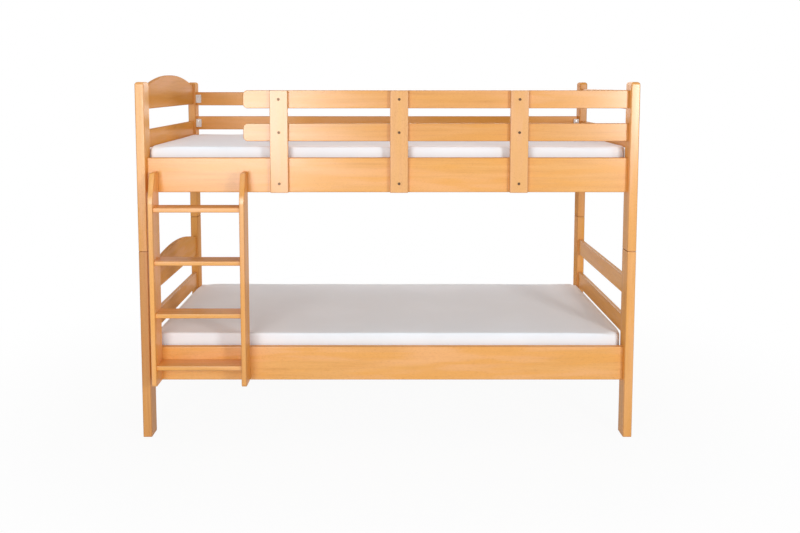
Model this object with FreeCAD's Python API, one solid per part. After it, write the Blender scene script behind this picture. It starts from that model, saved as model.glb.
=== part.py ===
import FreeCAD, Part
import math
import os

# Bunk bed of beech: two single beds, one stacked on the other, with a guard rail and a ladder.
# All sizes are in millimetres. X runs along the bed, Y from front to back, Z up from the floor.
# The origin lies on the floor, under the middle of the whole bed with its ladder.

Vector = FreeCAD.Vector
AXIS_X = Vector(1, 0, 0)
AXIS_Y = Vector(0, 1, 0)
AXIS_Z = Vector(0, 0, 1)

# Mattresses
mattress_length = 2000.0
mattress_width = 900.0
mattress_height = 100.0
mattress_corner_radius = 60.0
mattress_top_round = 18.0
mattress_bottom_chamfer = 8.0
mattress_crown = 6.0
mattress_end_play = 2.5
mattress_side_play = 2.5
soft_gap = 0.3

# Posts
post_thickness = 37.5
post_depth = 80.0
post_edge_round = 5.0
post_top_chamfer = 4.0
post_joint_chamfer = 2.0
lower_post_height = 800.0
upper_post_height = 706.0

# Side rails and the ledges that carry the slatted bases
rail_thickness = 25.0
rail_height = 145.0
rail_edge_round = 4.0
ledge_width = 25.0
ledge_height = 30.0
ledge_end_gap = 12.0
ledge_edge_chamfer = 2.0

# Boards between the posts at the head and at the foot
end_board_thickness = 19.0
end_board_edge_chamfer = 2.5
low_slat_height = 78.0
top_slat_height = 79.5
cross_rail_height = 100.0
arch_end_height = 95.5
arch_rise = 49.5
arch_end_flat = 12.0

# Glued tenons of the end boards, dry tenons of the side rails, and the mortises that hold them
tenon_length = 28.0
tenon_thickness = 10.0
tenon_shoulder = 11.0
rail_tenon_length = 11.0
rail_tenon_thickness = 12.0
rail_tenon_shoulder = 18.0
glue_gap = 0.1

# Heights above the foot of the bed's own posts: rail, boards, and drop of the slat tops below the rail
lower_rail_bottom = 240.0
lower_low_slat_bottom = 428.0
lower_top_slat_bottom = 600.5
lower_arch_bottom = 599.0
lower_base_drop = 48.0
upper_rail_bottom = 246.0
upper_low_slat_bottom = 427.0
upper_top_slat_bottom = 592.0
upper_arch_bottom = 593.0
upper_base_drop = 58.0

# Bed bolts with barrel nuts
bolt_radius = 4.0
bolt_head_radius = 8.0
bolt_head_height = 4.0
bolt_head_recess = 1.5
bolt_reach = 46.0
bolt_play = 0.4
barrel_nut_radius = 7.0
barrel_nut_length = 18.0
barrel_nut_distance = 35.0

# Pins that stack the upper posts on the lower ones
pin_radius = 6.0
pin_engagement = 35.0
pin_tip_chamfer = 1.5
pin_play = 0.3
pin_end_gap = 3.0

# Slatted bases
base_slat_count = 15
base_slat_width = 70.0
base_slat_thickness = 18.0
base_slat_chamfer = 2.0
base_end_gap = 15.0
base_side_gap = 5.0
tape_width = 25.0
tape_thickness = 1.0
tape_spacing = 560.0

# Guard rail in front of the upper mattress; its heights are above the underside of the rail
guard_height = 425.5
guard_board_height = 74.5
guard_board_gap = 62.5
guard_board_thickness = 20.0
guard_corner_round = 20.0
guard_edge_chamfer = 2.0
entry_width = 402.5
upright_width = 75.0
upright_thickness = 20.0
upright_corner_round = 8.0
upright_inset = 150.5
upright_pitch = 498.0
upright_count = 3
upright_screw_height = 38.0

# Guard rail behind the upper mattress
back_guard_height = 409.0
back_guard_board_height = 69.0
back_guard_board_gap = 57.5

# Screws of the guard rail and of the ladder, with a socket for a key in their flat heads
screw_radius = 3.0
screw_head_radius = 5.5
screw_head_height = 2.5
screw_length = 36.0
screw_play = 0.3
hex_socket_width = 5.0
hex_socket_depth = 1.8

# Plastic corner blocks at the ends of the guard boards
block_length = 24.0
block_depth = 18.0
block_height = 42.0
block_edge_chamfer = 2.0
block_screw_radius = 1.75
block_screw_head_radius = 3.5
block_screw_head_height = 2.0
block_screw_grip = 9.0
block_screw_rise = 10.0

# Ladder
ladder_width = 394.0
ladder_post_gap = 24.5
ladder_foot_rise = 3.0
ladder_head_overlap = 87.0
stile_thickness = 21.0
stile_depth = 100.0
stile_edge_chamfer = 2.0
stile_top_depth = 60.0
stile_taper_height = 105.0
stile_knee_round = 110.0
stile_nose_round = 12.0
stile_toe_round = 14.0
tread_count = 4
tread_pitch = 221.0
first_tread_rise = 87.5
tread_depth = 90.0
tread_thickness = 20.0
tread_edge_chamfer = 2.5
tread_tenon_length = 12.0
tread_tenon_thickness = 11.0
tread_tenon_width = 58.0
ladder_screw_height = 16.0
ladder_dowel_height = 42.0
ladder_dowel_radius = 4.0
ladder_dowel_length = 30.0
dowel_end_gap = 0.5

# How far a cutting tool runs past the face that it opens, and how near counts as the same place
overrun = 2.0
same_place = 0.01
same_direction_share = 0.9999

# Sides of a key's socket, and of the small round bars and bores of the many fasteners
hex_sides = 6
fastener_sides = 10

# Places that follow from the sizes
inner_length = mattress_length + 2 * mattress_end_play
inner_width = mattress_width + 2 * mattress_side_play
half_inner = inner_length / 2
rail_setback = (post_depth - rail_thickness) / 2
bed_width = inner_width + 2 * (rail_thickness + rail_setback)
ladder_projection = stile_depth - rail_setback
front_plane = (ladder_projection - bed_width) / 2
back_plane = front_plane + bed_width
bed_middle_y = (front_plane + back_plane) / 2
post_centre_x = half_inner + post_thickness / 2
upper_rail_z = lower_post_height + upper_rail_bottom
rail_front_y = front_plane + rail_setback
rail_back_y = back_plane - rail_setback


class BedHeights:
    """Heights of one bed's pieces above the floor."""

    def __init__(self, name, foot, post_height, rail, low_slat, top_slat, arch, base_drop):
        self.name = name
        self.foot = foot
        self.head = foot + post_height
        self.rail = foot + rail
        self.low_slat = foot + low_slat
        self.top_slat = foot + top_slat
        self.arch = foot + arch
        self.slat_top = self.rail + rail_height - base_drop
        self.ledge_top = self.slat_top - base_slat_thickness


LOWER = BedHeights("lower", 0, lower_post_height, lower_rail_bottom, lower_low_slat_bottom,
                   lower_top_slat_bottom, lower_arch_bottom, lower_base_drop)
UPPER = BedHeights("upper", lower_post_height, upper_post_height, upper_rail_bottom,
                   upper_low_slat_bottom, upper_top_slat_bottom, upper_arch_bottom, upper_base_drop)


# Basic shapes

def box(x, y, z):
    """A block between two X, two Y and two Z places, given in any order."""
    low = Vector(min(x), min(y), min(z))
    high = Vector(max(x), max(y), max(z))
    size = high - low
    return Part.makeBox(size.x, size.y, size.z, low)


def prism(start, end, radius, sides):
    """A straight bar of regular section; the radius reaches its corners."""
    along = end - start
    direction = Vector(along).normalize()
    first = AXIS_X if abs(direction.dot(AXIS_Z)) > same_direction_share else AXIS_Z
    points = []
    for step in range(sides):
        turn = FreeCAD.Rotation(direction, 360 * step / sides)
        points.append(start + turn.multVec(first) * radius)
    return Part.Face(Part.makePolygon(points + [points[0]])).extrude(along)


def rod(start, end, radius):
    """A small round bar, or the cutter of its bore."""
    return prism(start, end, radius, fastener_sides)


def edges_along(shape, axis):
    """The straight edges of a shape that run along one axis."""
    found = []
    for edge in shape.Edges:
        if isinstance(edge.Curve, Part.Line) and abs(edge.Curve.Direction.dot(axis)) > same_direction_share:
            found.append(edge)
    return found


def edges_on_plane(shape, axis, place):
    """The edges of a shape that lie on a plane square to an axis."""
    found = []
    for edge in shape.Edges:
        ends = (edge.BoundBox.getPoint(0), edge.BoundBox.getPoint(6))
        if all(abs(point.dot(axis) - place) < same_place for point in ends):
            found.append(edge)
    return found


def rounded_board(x, y, z, axis, radius):
    """A block whose four long edges, along the axis, are rounded."""
    block = box(x, y, z)
    return block.makeFillet(radius, edges_along(block, axis))


def eased_board(x, y, z, axis, chamfer):
    """A block whose four long edges, along the axis, are taken off."""
    block = box(x, y, z)
    return block.makeChamfer(chamfer, edges_along(block, axis))


def plate(corners, corner_radii, thickness_axis, thickness, chamfer):
    """A flat board cut to an outline of straight sides, eased round both faces; a radius of 0 stays sharp."""
    wire = Part.makePolygon(corners + [corners[0]])
    solid = Part.Face(wire).extrude(thickness_axis * thickness)
    for corner, radius in zip(corners, corner_radii):
        for edge in edges_along(solid, thickness_axis):
            if radius and edge.distToShape(Part.Vertex(corner))[0] < same_place:
                solid = solid.makeFillet(radius, [edge])
                break
    start = corners[0].dot(thickness_axis)
    rims = edges_on_plane(solid, thickness_axis, start)
    rims += edges_on_plane(solid, thickness_axis, start + thickness)
    return solid.makeChamfer(chamfer, rims)


def hex_socket(mouth, into):
    """The six-sided hole for a key, from its mouth along a unit direction."""
    corner_radius = hex_socket_width / math.sqrt(3)
    return prism(mouth - into * overrun, mouth + into * hex_socket_depth, corner_radius, hex_sides)


def headed_bar(seat, into, radius, length, head_radius, head_height):
    """A bolt or screw with a flat round head: seat is the point under its head, into its direction."""
    head = rod(seat - into * head_height, seat, head_radius)
    shank = rod(seat, seat + into * length, radius)
    return head.fuse(shank).removeSplitter()


def socket_screw(seat, into):
    """One screw of the guard rail or the ladder."""
    screw = headed_bar(seat, into, screw_radius, screw_length, screw_head_radius, screw_head_height)
    return screw.cut(hex_socket(seat - into * screw_head_height, into))


# Posts

def row_planes(row):
    """Y of the outer face of the posts of the front (-1) or back (+1) row, and of both faces of its rail."""
    outer = front_plane if row < 0 else back_plane
    rail_outer = outer - row * rail_setback
    rail_inner = rail_outer - row * rail_thickness
    return outer, rail_outer, rail_inner


def end_board_x(end):
    """The X range of the boards at the head (-1) or the foot (+1)."""
    centre = end * post_centre_x
    return centre - end_board_thickness / 2, centre + end_board_thickness / 2


def bolt_line(bed, end, row):
    """Where a bed bolt seats in its post, and its direction."""
    rail_outer, rail_inner = row_planes(row)[1:]
    seat_x = end * (half_inner + post_thickness - bolt_head_recess - bolt_head_height)
    return Vector(seat_x, (rail_outer + rail_inner) / 2, bed.rail + rail_height / 2), AXIS_X * -end


def rail_tenon(bed, end, row, gap):
    """The tenon at one end of a side rail, or its mortise where a gap is given."""
    rail_outer, rail_inner = row_planes(row)[1:]
    centre = (rail_outer + rail_inner) / 2
    half = rail_tenon_thickness / 2 + gap
    low = bed.rail + rail_tenon_shoulder - gap
    high = bed.rail + rail_height - rail_tenon_shoulder + gap
    return box((end * half_inner, end * (half_inner + rail_tenon_length + gap)),
               (centre - half, centre + half), (low, high))


def board_tenon(end, row, bottom, height, gap):
    """The tenon of an end board in one post, or its mortise where a gap is given."""
    centre = end * post_centre_x
    shoulder = row_planes(row)[0] - row * post_depth
    half = tenon_thickness / 2 + gap
    return box((centre - half, centre + half), (shoulder, shoulder + row * (tenon_length + gap)),
               (bottom + tenon_shoulder - gap, bottom + height - tenon_shoulder + gap))


def pin_line(end, row):
    """The point on the joint of two posts where their stacking pin crosses it."""
    return Vector(end * post_centre_x, row_planes(row)[0] - row * post_depth / 2, lower_post_height)


def post(bed, end, row):
    """One post, with its mortises, its bolt hole and the hole for its stacking pin."""
    outer = row_planes(row)[0]
    inner = outer - row * post_depth
    body = box((end * half_inner, end * (half_inner + post_thickness)), (outer, inner), (bed.foot, bed.head))
    body = body.makeFillet(post_edge_round, edges_along(body, AXIS_Z))
    if bed is UPPER:
        body = body.makeChamfer(post_joint_chamfer, edges_on_plane(body, AXIS_Z, bed.foot))
        body = body.makeChamfer(post_top_chamfer, edges_on_plane(body, AXIS_Z, bed.head))
    cutters = [rail_tenon(bed, end, row, glue_gap)]
    for bottom, height in end_boards(bed, end).values():
        cutters.append(board_tenon(end, row, bottom, height, glue_gap))
    seat, into = bolt_line(bed, end, row)
    cutters.append(rod(seat - into * (bolt_head_height + bolt_head_recess + overrun), seat,
                       bolt_head_radius + bolt_play))
    cutters.append(rod(seat, seat + into * (post_thickness + overrun), bolt_radius + bolt_play))
    joint = pin_line(end, row)
    if bed is LOWER:
        cutters.append(rod(joint - AXIS_Z * (pin_engagement + glue_gap), joint + AXIS_Z * overrun,
                           pin_radius + glue_gap))
    else:
        cutters.append(rod(joint - AXIS_Z * overrun, joint + AXIS_Z * (pin_engagement + pin_end_gap),
                           pin_radius + pin_play))
    return body.cut(cutters)


def stacking_pins():
    """The four pins that stand in the lower posts and centre the upper ones."""
    pins = []
    for end in (-1, 1):
        for row in (-1, 1):
            joint = pin_line(end, row)
            high = joint + AXIS_Z * pin_engagement
            pin = rod(joint - AXIS_Z * pin_engagement, high, pin_radius)
            pins.append(pin.makeChamfer(pin_tip_chamfer, edges_on_plane(pin, AXIS_Z, high.z)))
    return pins


# Boards at the head and the foot

def end_boards(bed, end):
    """Underside and height at the posts of each board between the posts of one end."""
    boards = {"cross_rail": (bed.rail, cross_rail_height)}
    if end < 0:
        boards["slat"] = (bed.low_slat, low_slat_height)
        boards["arch_board"] = (bed.arch, arch_end_height)
    else:
        boards["lower_slat"] = (bed.low_slat, low_slat_height)
        boards["upper_slat"] = (bed.top_slat, top_slat_height)
    return boards


def with_tenons(body, end, bottom, height):
    """An end board joined with its tenons."""
    return body.fuse([board_tenon(end, row, bottom, height, 0) for row in (-1, 1)]).removeSplitter()


def straight_end_board(end, bottom, height):
    """A straight board with eased edges and a tenon at each end."""
    span = (front_plane + post_depth, back_plane - post_depth)
    body = eased_board(end_board_x(end), span, (bottom, bottom + height), AXIS_Y, end_board_edge_chamfer)
    return with_tenons(body, end, bottom, height)


def arched_end_board(end, bottom):
    """The head board: straight below, arched above, with a tenon at each end."""
    x = end_board_x(end)[0]
    near = front_plane + post_depth
    far = back_plane - post_depth
    shoulder_z = bottom + arch_end_height
    start = Vector(x, near + arch_end_flat, shoulder_z)
    crown = Vector(x, (near + far) / 2, shoulder_z + arch_rise)
    finish = Vector(x, far - arch_end_flat, shoulder_z)
    outline = [
        Part.makeLine(Vector(x, near, bottom), Vector(x, near, shoulder_z)),
        Part.makeLine(Vector(x, near, shoulder_z), start),
        Part.Arc(start, crown, finish).toShape(),
        Part.makeLine(finish, Vector(x, far, shoulder_z)),
        Part.makeLine(Vector(x, far, shoulder_z), Vector(x, far, bottom)),
        Part.makeLine(Vector(x, far, bottom), Vector(x, near, bottom)),
    ]
    body = Part.Face(Part.Wire(outline)).extrude(AXIS_X * end_board_thickness)
    rims = []
    for place in (x, x + end_board_thickness):
        for edge in edges_on_plane(body, AXIS_X, place):
            if edge.BoundBox.YLength > same_place:
                rims.append(edge)
    body = body.makeChamfer(end_board_edge_chamfer, rims)
    return with_tenons(body, end, bottom, arch_end_height)


# Side rails, ledges and their fasteners

def side_rail(bed, row):
    """One side rail, with its tenons, drilled for its bolts and barrel nuts."""
    rail_outer, rail_inner = row_planes(row)[1:]
    body = rounded_board((-half_inner, half_inner), (rail_outer, rail_inner),
                         (bed.rail, bed.rail + rail_height), AXIS_X, rail_edge_round)
    body = body.fuse([rail_tenon(bed, end, row, 0) for end in (-1, 1)]).removeSplitter()
    cutters = []
    for end in (-1, 1):
        seat, into = bolt_line(bed, end, row)
        cutters.append(rod(seat, seat + into * (bolt_length() + bolt_play), bolt_radius + bolt_play))
        nut = nut_middle(bed, end, row)
        nut_deep = nut + AXIS_Y * (row * (barrel_nut_length / 2 + glue_gap))
        nut_mouth = Vector(nut.x, rail_inner - row * overrun, nut.z)
        cutters.append(rod(nut_mouth, nut_deep, barrel_nut_radius + glue_gap))
    return body.cut(cutters)


def bolt_length():
    """Length of a bed bolt under its head."""
    return post_thickness - bolt_head_recess - bolt_head_height + bolt_reach


def nut_middle(bed, end, row):
    """The middle of a barrel nut."""
    seat = bolt_line(bed, end, row)[0]
    return Vector(end * (half_inner - barrel_nut_distance), seat.y, seat.z)


def bed_bolts(bed):
    """The bolts that hold both side rails to the posts."""
    found = []
    for end in (-1, 1):
        for row in (-1, 1):
            seat, into = bolt_line(bed, end, row)
            found.append(headed_bar(seat, into, bolt_radius, bolt_length(),
                                    bolt_head_radius, bolt_head_height))
    return found


def barrel_nuts(bed):
    """The cross-drilled nuts in the ends of both side rails."""
    found = []
    for end in (-1, 1):
        for row in (-1, 1):
            middle = nut_middle(bed, end, row)
            half = AXIS_Y * (barrel_nut_length / 2)
            reach = AXIS_X * (barrel_nut_radius + overrun)
            nut = rod(middle - half, middle + half, barrel_nut_radius)
            found.append(nut.cut(rod(middle - reach, middle + reach, bolt_radius + glue_gap)))
    return found


def ledge(bed, row):
    """The ledge on the inner face of one side rail."""
    rail_inner = row_planes(row)[2]
    reach = half_inner - ledge_end_gap
    block = box((-reach, reach), (rail_inner, rail_inner - row * ledge_width),
                (bed.ledge_top - ledge_height, bed.ledge_top))
    inner_edges = []
    for edge in edges_along(block, AXIS_X):
        if abs(edge.BoundBox.YMin - rail_inner) > same_place:
            inner_edges.append(edge)
    return block.makeChamfer(ledge_edge_chamfer, inner_edges)


# Slatted bases and mattresses

def base_slat_places():
    """The middle of each slat of a base along the bed."""
    reach = half_inner - base_end_gap - base_slat_width / 2
    pitch = 2 * reach / (base_slat_count - 1)
    return [-reach + pitch * index for index in range(base_slat_count)]


def base_slats(bed):
    """The slats that lie across the ledges."""
    half_width = inner_width / 2 - base_side_gap
    found = []
    for place in base_slat_places():
        block = box((place - base_slat_width / 2, place + base_slat_width / 2),
                    (bed_middle_y - half_width, bed_middle_y + half_width), (bed.ledge_top, bed.slat_top))
        top_rim = edges_on_plane(block, AXIS_Z, bed.slat_top)
        upper = [edge for edge in top_rim if edge.BoundBox.YLength > same_place]
        found.append(block.makeChamfer(base_slat_chamfer, upper))
    return found


def base_tapes(bed):
    """The two tapes under the slats that keep them apart."""
    reach = half_inner - base_end_gap
    found = []
    for side in (-1, 1):
        middle = bed_middle_y + side * tape_spacing / 2
        found.append(box((-reach, reach), (middle - tape_width / 2, middle + tape_width / 2),
                         (bed.ledge_top - tape_thickness, bed.ledge_top)))
    return found


def mattress(bed):
    """A foam mattress in a cover: crowned across, with rounded corners and edges."""
    bottom = bed.slat_top + soft_gap
    half_length = mattress_length / 2
    half_width = mattress_width / 2
    side_top = bottom + mattress_height - mattress_crown
    near = bed_middle_y - half_width
    far = bed_middle_y + half_width
    outline = [
        Part.makeLine(Vector(-half_length, far, side_top), Vector(-half_length, far, bottom)),
        Part.makeLine(Vector(-half_length, far, bottom), Vector(-half_length, near, bottom)),
        Part.makeLine(Vector(-half_length, near, bottom), Vector(-half_length, near, side_top)),
        Part.Arc(Vector(-half_length, near, side_top),
                 Vector(-half_length, bed_middle_y, bottom + mattress_height),
                 Vector(-half_length, far, side_top)).toShape(),
    ]
    body = Part.Face(Part.Wire(outline)).extrude(AXIS_X * mattress_length)
    body = body.makeFillet(mattress_corner_radius, edges_along(body, AXIS_Z))
    body = body.makeChamfer(mattress_bottom_chamfer, edges_on_plane(body, AXIS_Z, bottom))
    top_rim = []
    for edge in body.Edges:
        if edge.BoundBox.ZMin > side_top - same_place:
            top_rim.append(edge)
    return body.makeFillet(mattress_top_round, top_rim)


# Guard rails of the upper bed

def guard_board_bottoms():
    """Undersides of the bottom and the top board of the front guard."""
    top = upper_rail_z + guard_height - guard_board_height
    return top - guard_board_gap - guard_board_height, top


def back_guard_board_bottoms():
    """Undersides of the bottom and the top board of the back guard."""
    top = upper_rail_z + back_guard_height - back_guard_board_height
    return top - back_guard_board_gap - back_guard_board_height, top


def upright_places():
    """The middle of each upright of the front guard along the bed."""
    first = -half_inner + entry_width + upright_inset
    return [first + upright_pitch * index for index in range(upright_count)]


def screw_heights():
    """Heights of the screws in each upright: one in the rail and one in each board."""
    bottoms = guard_board_bottoms()
    return [upper_rail_z + upright_screw_height] + [bottom + guard_board_height / 2 for bottom in bottoms]


def guard_screw_seat(place, height):
    """The point under the head of a guard screw, on the face of its upright."""
    return Vector(place, rail_front_y - upright_thickness, height)


def screw_bore(seat, into):
    """The cutter for a screw in the piece that its thread holds."""
    return rod(seat, seat + into * (screw_length + glue_gap), screw_radius + glue_gap)


def guard_board(bottom):
    """A front guard board, rounded at its free end and bored for its screws."""
    left = -half_inner + entry_width
    top = bottom + guard_board_height
    body = box((left, half_inner), (rail_front_y, rail_front_y + guard_board_thickness), (bottom, top))
    free_end = [edge for edge in edges_along(body, AXIS_Y) if edge.BoundBox.XMax < left + same_place]
    body = body.makeFillet(guard_corner_round, free_end)
    rims = []
    for place in (rail_front_y, rail_front_y + guard_board_thickness):
        for edge in edges_on_plane(body, AXIS_Y, place):
            if edge.BoundBox.XMin < half_inner - same_place:
                rims.append(edge)
    body = body.makeChamfer(guard_edge_chamfer, rims)
    height = bottom + guard_board_height / 2
    return body.cut([screw_bore(guard_screw_seat(place, height), AXIS_Y) for place in upright_places()])


def upright(place):
    """One upright of the front guard, bored for its three screws."""
    low = upper_rail_z
    high = upper_rail_z + guard_height
    face = rail_front_y - upright_thickness
    corners = [Vector(place - upright_width / 2, face, low), Vector(place + upright_width / 2, face, low),
               Vector(place + upright_width / 2, face, high), Vector(place - upright_width / 2, face, high)]
    radii = [0, 0, upright_corner_round, upright_corner_round]
    body = plate(corners, radii, AXIS_Y, upright_thickness, guard_edge_chamfer)
    cutters = []
    for height in screw_heights():
        seat = guard_screw_seat(place, height)
        cutters.append(rod(seat - AXIS_Y * overrun, seat + AXIS_Y * (upright_thickness + overrun),
                           screw_radius + screw_play))
    return body.cut(cutters)


def guard_screws():
    """The screws of all uprights."""
    found = []
    for place in upright_places():
        for height in screw_heights():
            found.append(socket_screw(guard_screw_seat(place, height), AXIS_Y))
    return found


def back_guard_board(bottom):
    """A back guard board between the back posts."""
    return eased_board((-half_inner, half_inner), (rail_back_y - guard_board_thickness, rail_back_y),
                       (bottom, bottom + back_guard_board_height), AXIS_X, guard_edge_chamfer)


# Corner blocks

def block_places():
    """End, row, board face and height of each corner block's middle."""
    places = []
    for bottom in guard_board_bottoms():
        places.append((1, -1, rail_front_y + guard_board_thickness, bottom + guard_board_height / 2))
    for bottom in back_guard_board_bottoms():
        for end in (-1, 1):
            places.append((end, 1, rail_back_y - guard_board_thickness, bottom + back_guard_board_height / 2))
    return places


def block_screw_lines(end, row, face, height):
    """Seat, direction and length of the two screws of a corner block: into the board, and into the post."""
    middle_x = end * (half_inner - block_length / 2)
    middle_y = face - row * block_depth / 2
    board_seat = Vector(middle_x, face - row * block_depth, height + block_screw_rise)
    post_seat = Vector(end * (half_inner - block_length), middle_y, height - block_screw_rise)
    return ((board_seat, AXIS_Y * row, block_depth + block_screw_grip),
            (post_seat, AXIS_X * end, block_length + block_screw_grip))


def corner_blocks():
    """The plastic blocks that tie the guard boards' ends to the posts."""
    found = []
    for end, row, face, height in block_places():
        x = (end * half_inner, end * (half_inner - block_length))
        y = (face, face - row * block_depth)
        z = (height - block_height / 2, height + block_height / 2)
        block = box(x, y, z)
        free = []
        for edge in block.Edges:
            on_post = abs(edge.CenterOfMass.x - x[0]) < same_place
            on_board = abs(edge.CenterOfMass.y - y[0]) < same_place
            if not on_post and not on_board:
                free.append(edge)
        block = block.makeChamfer(block_edge_chamfer, free)
        cutters = []
        for seat, into, length in block_screw_lines(end, row, face, height):
            cutters.append(rod(seat - into * overrun, seat + into * length, block_screw_radius + glue_gap))
        found.append(block.cut(cutters))
    return found


def corner_block_screws():
    """The screws of the corner blocks."""
    found = []
    for place in block_places():
        for seat, into, length in block_screw_lines(*place):
            found.append(headed_bar(seat, into, block_screw_radius, length,
                                    block_screw_head_radius, block_screw_head_height))
    return found


def block_screw_bores(end_or_row, axis_is_x):
    """Cutters for the tips of the block screws that run into the posts, or into the guard boards."""
    cutters = []
    for place in block_places():
        board_line, post_line = block_screw_lines(*place)
        seat, into, length = post_line if axis_is_x else board_line
        wanted = place[0] if axis_is_x else place[1]
        if wanted == end_or_row:
            cutters.append(rod(seat, seat + into * (length + glue_gap), block_screw_radius + glue_gap))
    return cutters


# Ladder

def stile_centres():
    """The middle of each stile along the bed."""
    left = -half_inner + ladder_post_gap + stile_thickness / 2
    return left, left + ladder_width - stile_thickness


def ladder_bottom():
    """Height of the stiles' feet above the floor."""
    return LOWER.rail + ladder_foot_rise


def ladder_top():
    """Height of the stiles' tops above the floor."""
    return UPPER.rail + ladder_head_overlap


def tread_tops():
    """Heights of the treads' upper faces."""
    first = ladder_bottom() + first_tread_rise
    return [first + tread_pitch * index for index in range(tread_count)]


def tread_band():
    """The Y range of the treads: flush behind with the stiles, set back in front."""
    return rail_front_y - tread_depth, rail_front_y


def tread_tenon(end, top, gap):
    """The tenon at one end of a tread, or its mortise where a gap is given."""
    left, right = stile_centres()
    shoulder = left + stile_thickness / 2 if end < 0 else right - stile_thickness / 2
    middle_y = sum(tread_band()) / 2
    middle_z = top - tread_thickness / 2
    return box((shoulder, shoulder + end * (tread_tenon_length + gap)),
               (middle_y - tread_tenon_width / 2 - gap, middle_y + tread_tenon_width / 2 + gap),
               (middle_z - tread_tenon_thickness / 2 - gap, middle_z + tread_tenon_thickness / 2 + gap))


def tread(top):
    """One tread, with eased edges and a tenon at each end."""
    left, right = stile_centres()
    span = (left + stile_thickness / 2, right - stile_thickness / 2)
    body = eased_board(span, tread_band(), (top - tread_thickness, top), AXIS_X, tread_edge_chamfer)
    return body.fuse([tread_tenon(end, top, 0) for end in (-1, 1)]).removeSplitter()


def stile(side):
    """One stile of the ladder, tapered towards its head."""
    centre = stile_centres()[0 if side < 0 else 1]
    x = centre - stile_thickness / 2
    back = rail_front_y
    front = rail_front_y - stile_depth
    corners = [Vector(x, back, ladder_bottom()), Vector(x, front, ladder_bottom()),
               Vector(x, front, ladder_top() - stile_taper_height),
               Vector(x, back - stile_top_depth, ladder_top()), Vector(x, back, ladder_top())]
    radii = [0, stile_toe_round, stile_knee_round, stile_nose_round, 0]
    body = plate(corners, radii, AXIS_X, stile_thickness, stile_edge_chamfer)
    cutters = [tread_tenon(side, top, glue_gap) for top in tread_tops()]
    cutters.append(screw_bore(ladder_screw_seat(centre), AXIS_Y * -1))
    cutters.append(ladder_dowel(centre, glue_gap, dowel_end_gap))
    return body.cut(cutters)


def ladder_screw_seat(centre):
    """The point under the head of a ladder screw, on the inner face of the upper front rail."""
    return Vector(centre, rail_front_y + rail_thickness, upper_rail_z + ladder_screw_height)


def ladder_screws():
    """The two screws through the upper front rail into the stiles."""
    return [socket_screw(ladder_screw_seat(centre), AXIS_Y * -1) for centre in stile_centres()]


def ladder_dowel(centre, gap, end_gap):
    """A dowel between the upper front rail and a stile, or its bore where gaps are given."""
    middle = Vector(centre, rail_front_y, upper_rail_z + ladder_dowel_height)
    reach = AXIS_Y * (ladder_dowel_length / 2 + end_gap)
    return rod(middle - reach, middle + reach, ladder_dowel_radius + gap)


def front_rail_bores():
    """Cutters in the upper front rail for the guard screws, the ladder screws and the dowels."""
    cutters = [screw_bore(guard_screw_seat(place, screw_heights()[0]), AXIS_Y) for place in upright_places()]
    for centre in stile_centres():
        seat = ladder_screw_seat(centre)
        cutters.append(rod(seat + AXIS_Y * overrun, seat - AXIS_Y * (rail_thickness + overrun),
                           screw_radius + screw_play))
        cutters.append(ladder_dowel(centre, glue_gap, dowel_end_gap))
    return cutters


# The whole bed

END_NAMES = {-1: "head", 1: "foot"}
SIDE_NAMES = {-1: "left", 1: "right"}
ROW_NAMES = {-1: "front", 1: "back"}


def bed_frame(bed):
    """The nodes that both beds have."""
    nodes = {}
    for end in (-1, 1):
        for row in (-1, 1):
            nodes[f"{bed.name}_post_{ROW_NAMES[row]}_{SIDE_NAMES[end]}"] = post(bed, end, row)
        for name, (bottom, height) in end_boards(bed, end).items():
            if name == "arch_board":
                shape = arched_end_board(end, bottom)
            else:
                shape = straight_end_board(end, bottom, height)
            nodes[f"{bed.name}_{END_NAMES[end]}_{name}"] = shape
    for row in (-1, 1):
        nodes[f"{bed.name}_{ROW_NAMES[row]}_rail"] = side_rail(bed, row)
        nodes[f"{bed.name}_{ROW_NAMES[row]}_ledge"] = ledge(bed, row)
    nodes[f"{bed.name}_bed_bolts"] = bed_bolts(bed)
    nodes[f"{bed.name}_barrel_nuts"] = barrel_nuts(bed)
    nodes[f"{bed.name}_base_slats"] = base_slats(bed)
    nodes[f"{bed.name}_base_tapes"] = base_tapes(bed)
    nodes[f"{bed.name}_mattress"] = mattress(bed)
    return nodes


def guard_and_ladder():
    """The nodes that only the upper bed has."""
    nodes = {}
    bottoms = guard_board_bottoms()
    back_bottoms = back_guard_board_bottoms()
    front_tips = block_screw_bores(-1, False)
    back_tips = block_screw_bores(1, False)
    for name, front_bottom, back_bottom in zip(("bottom", "top"), bottoms, back_bottoms):
        nodes[f"guard_{name}_board"] = guard_board(front_bottom).cut(front_tips)
        nodes[f"back_guard_{name}_board"] = back_guard_board(back_bottom).cut(back_tips)
    for name, place in zip(("left", "middle", "right"), upright_places()):
        nodes[f"guard_upright_{name}"] = upright(place)
    nodes["guard_screws"] = guard_screws()
    nodes["corner_blocks"] = corner_blocks()
    nodes["corner_block_screws"] = corner_block_screws()
    for side in (-1, 1):
        nodes[f"ladder_stile_{SIDE_NAMES[side]}"] = stile(side)
    for index, top in enumerate(tread_tops()):
        nodes[f"ladder_tread_{index + 1}"] = tread(top)
    nodes["ladder_screws"] = ladder_screws()
    nodes["ladder_dowels"] = [ladder_dowel(centre, 0, 0) for centre in stile_centres()]
    return nodes


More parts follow.
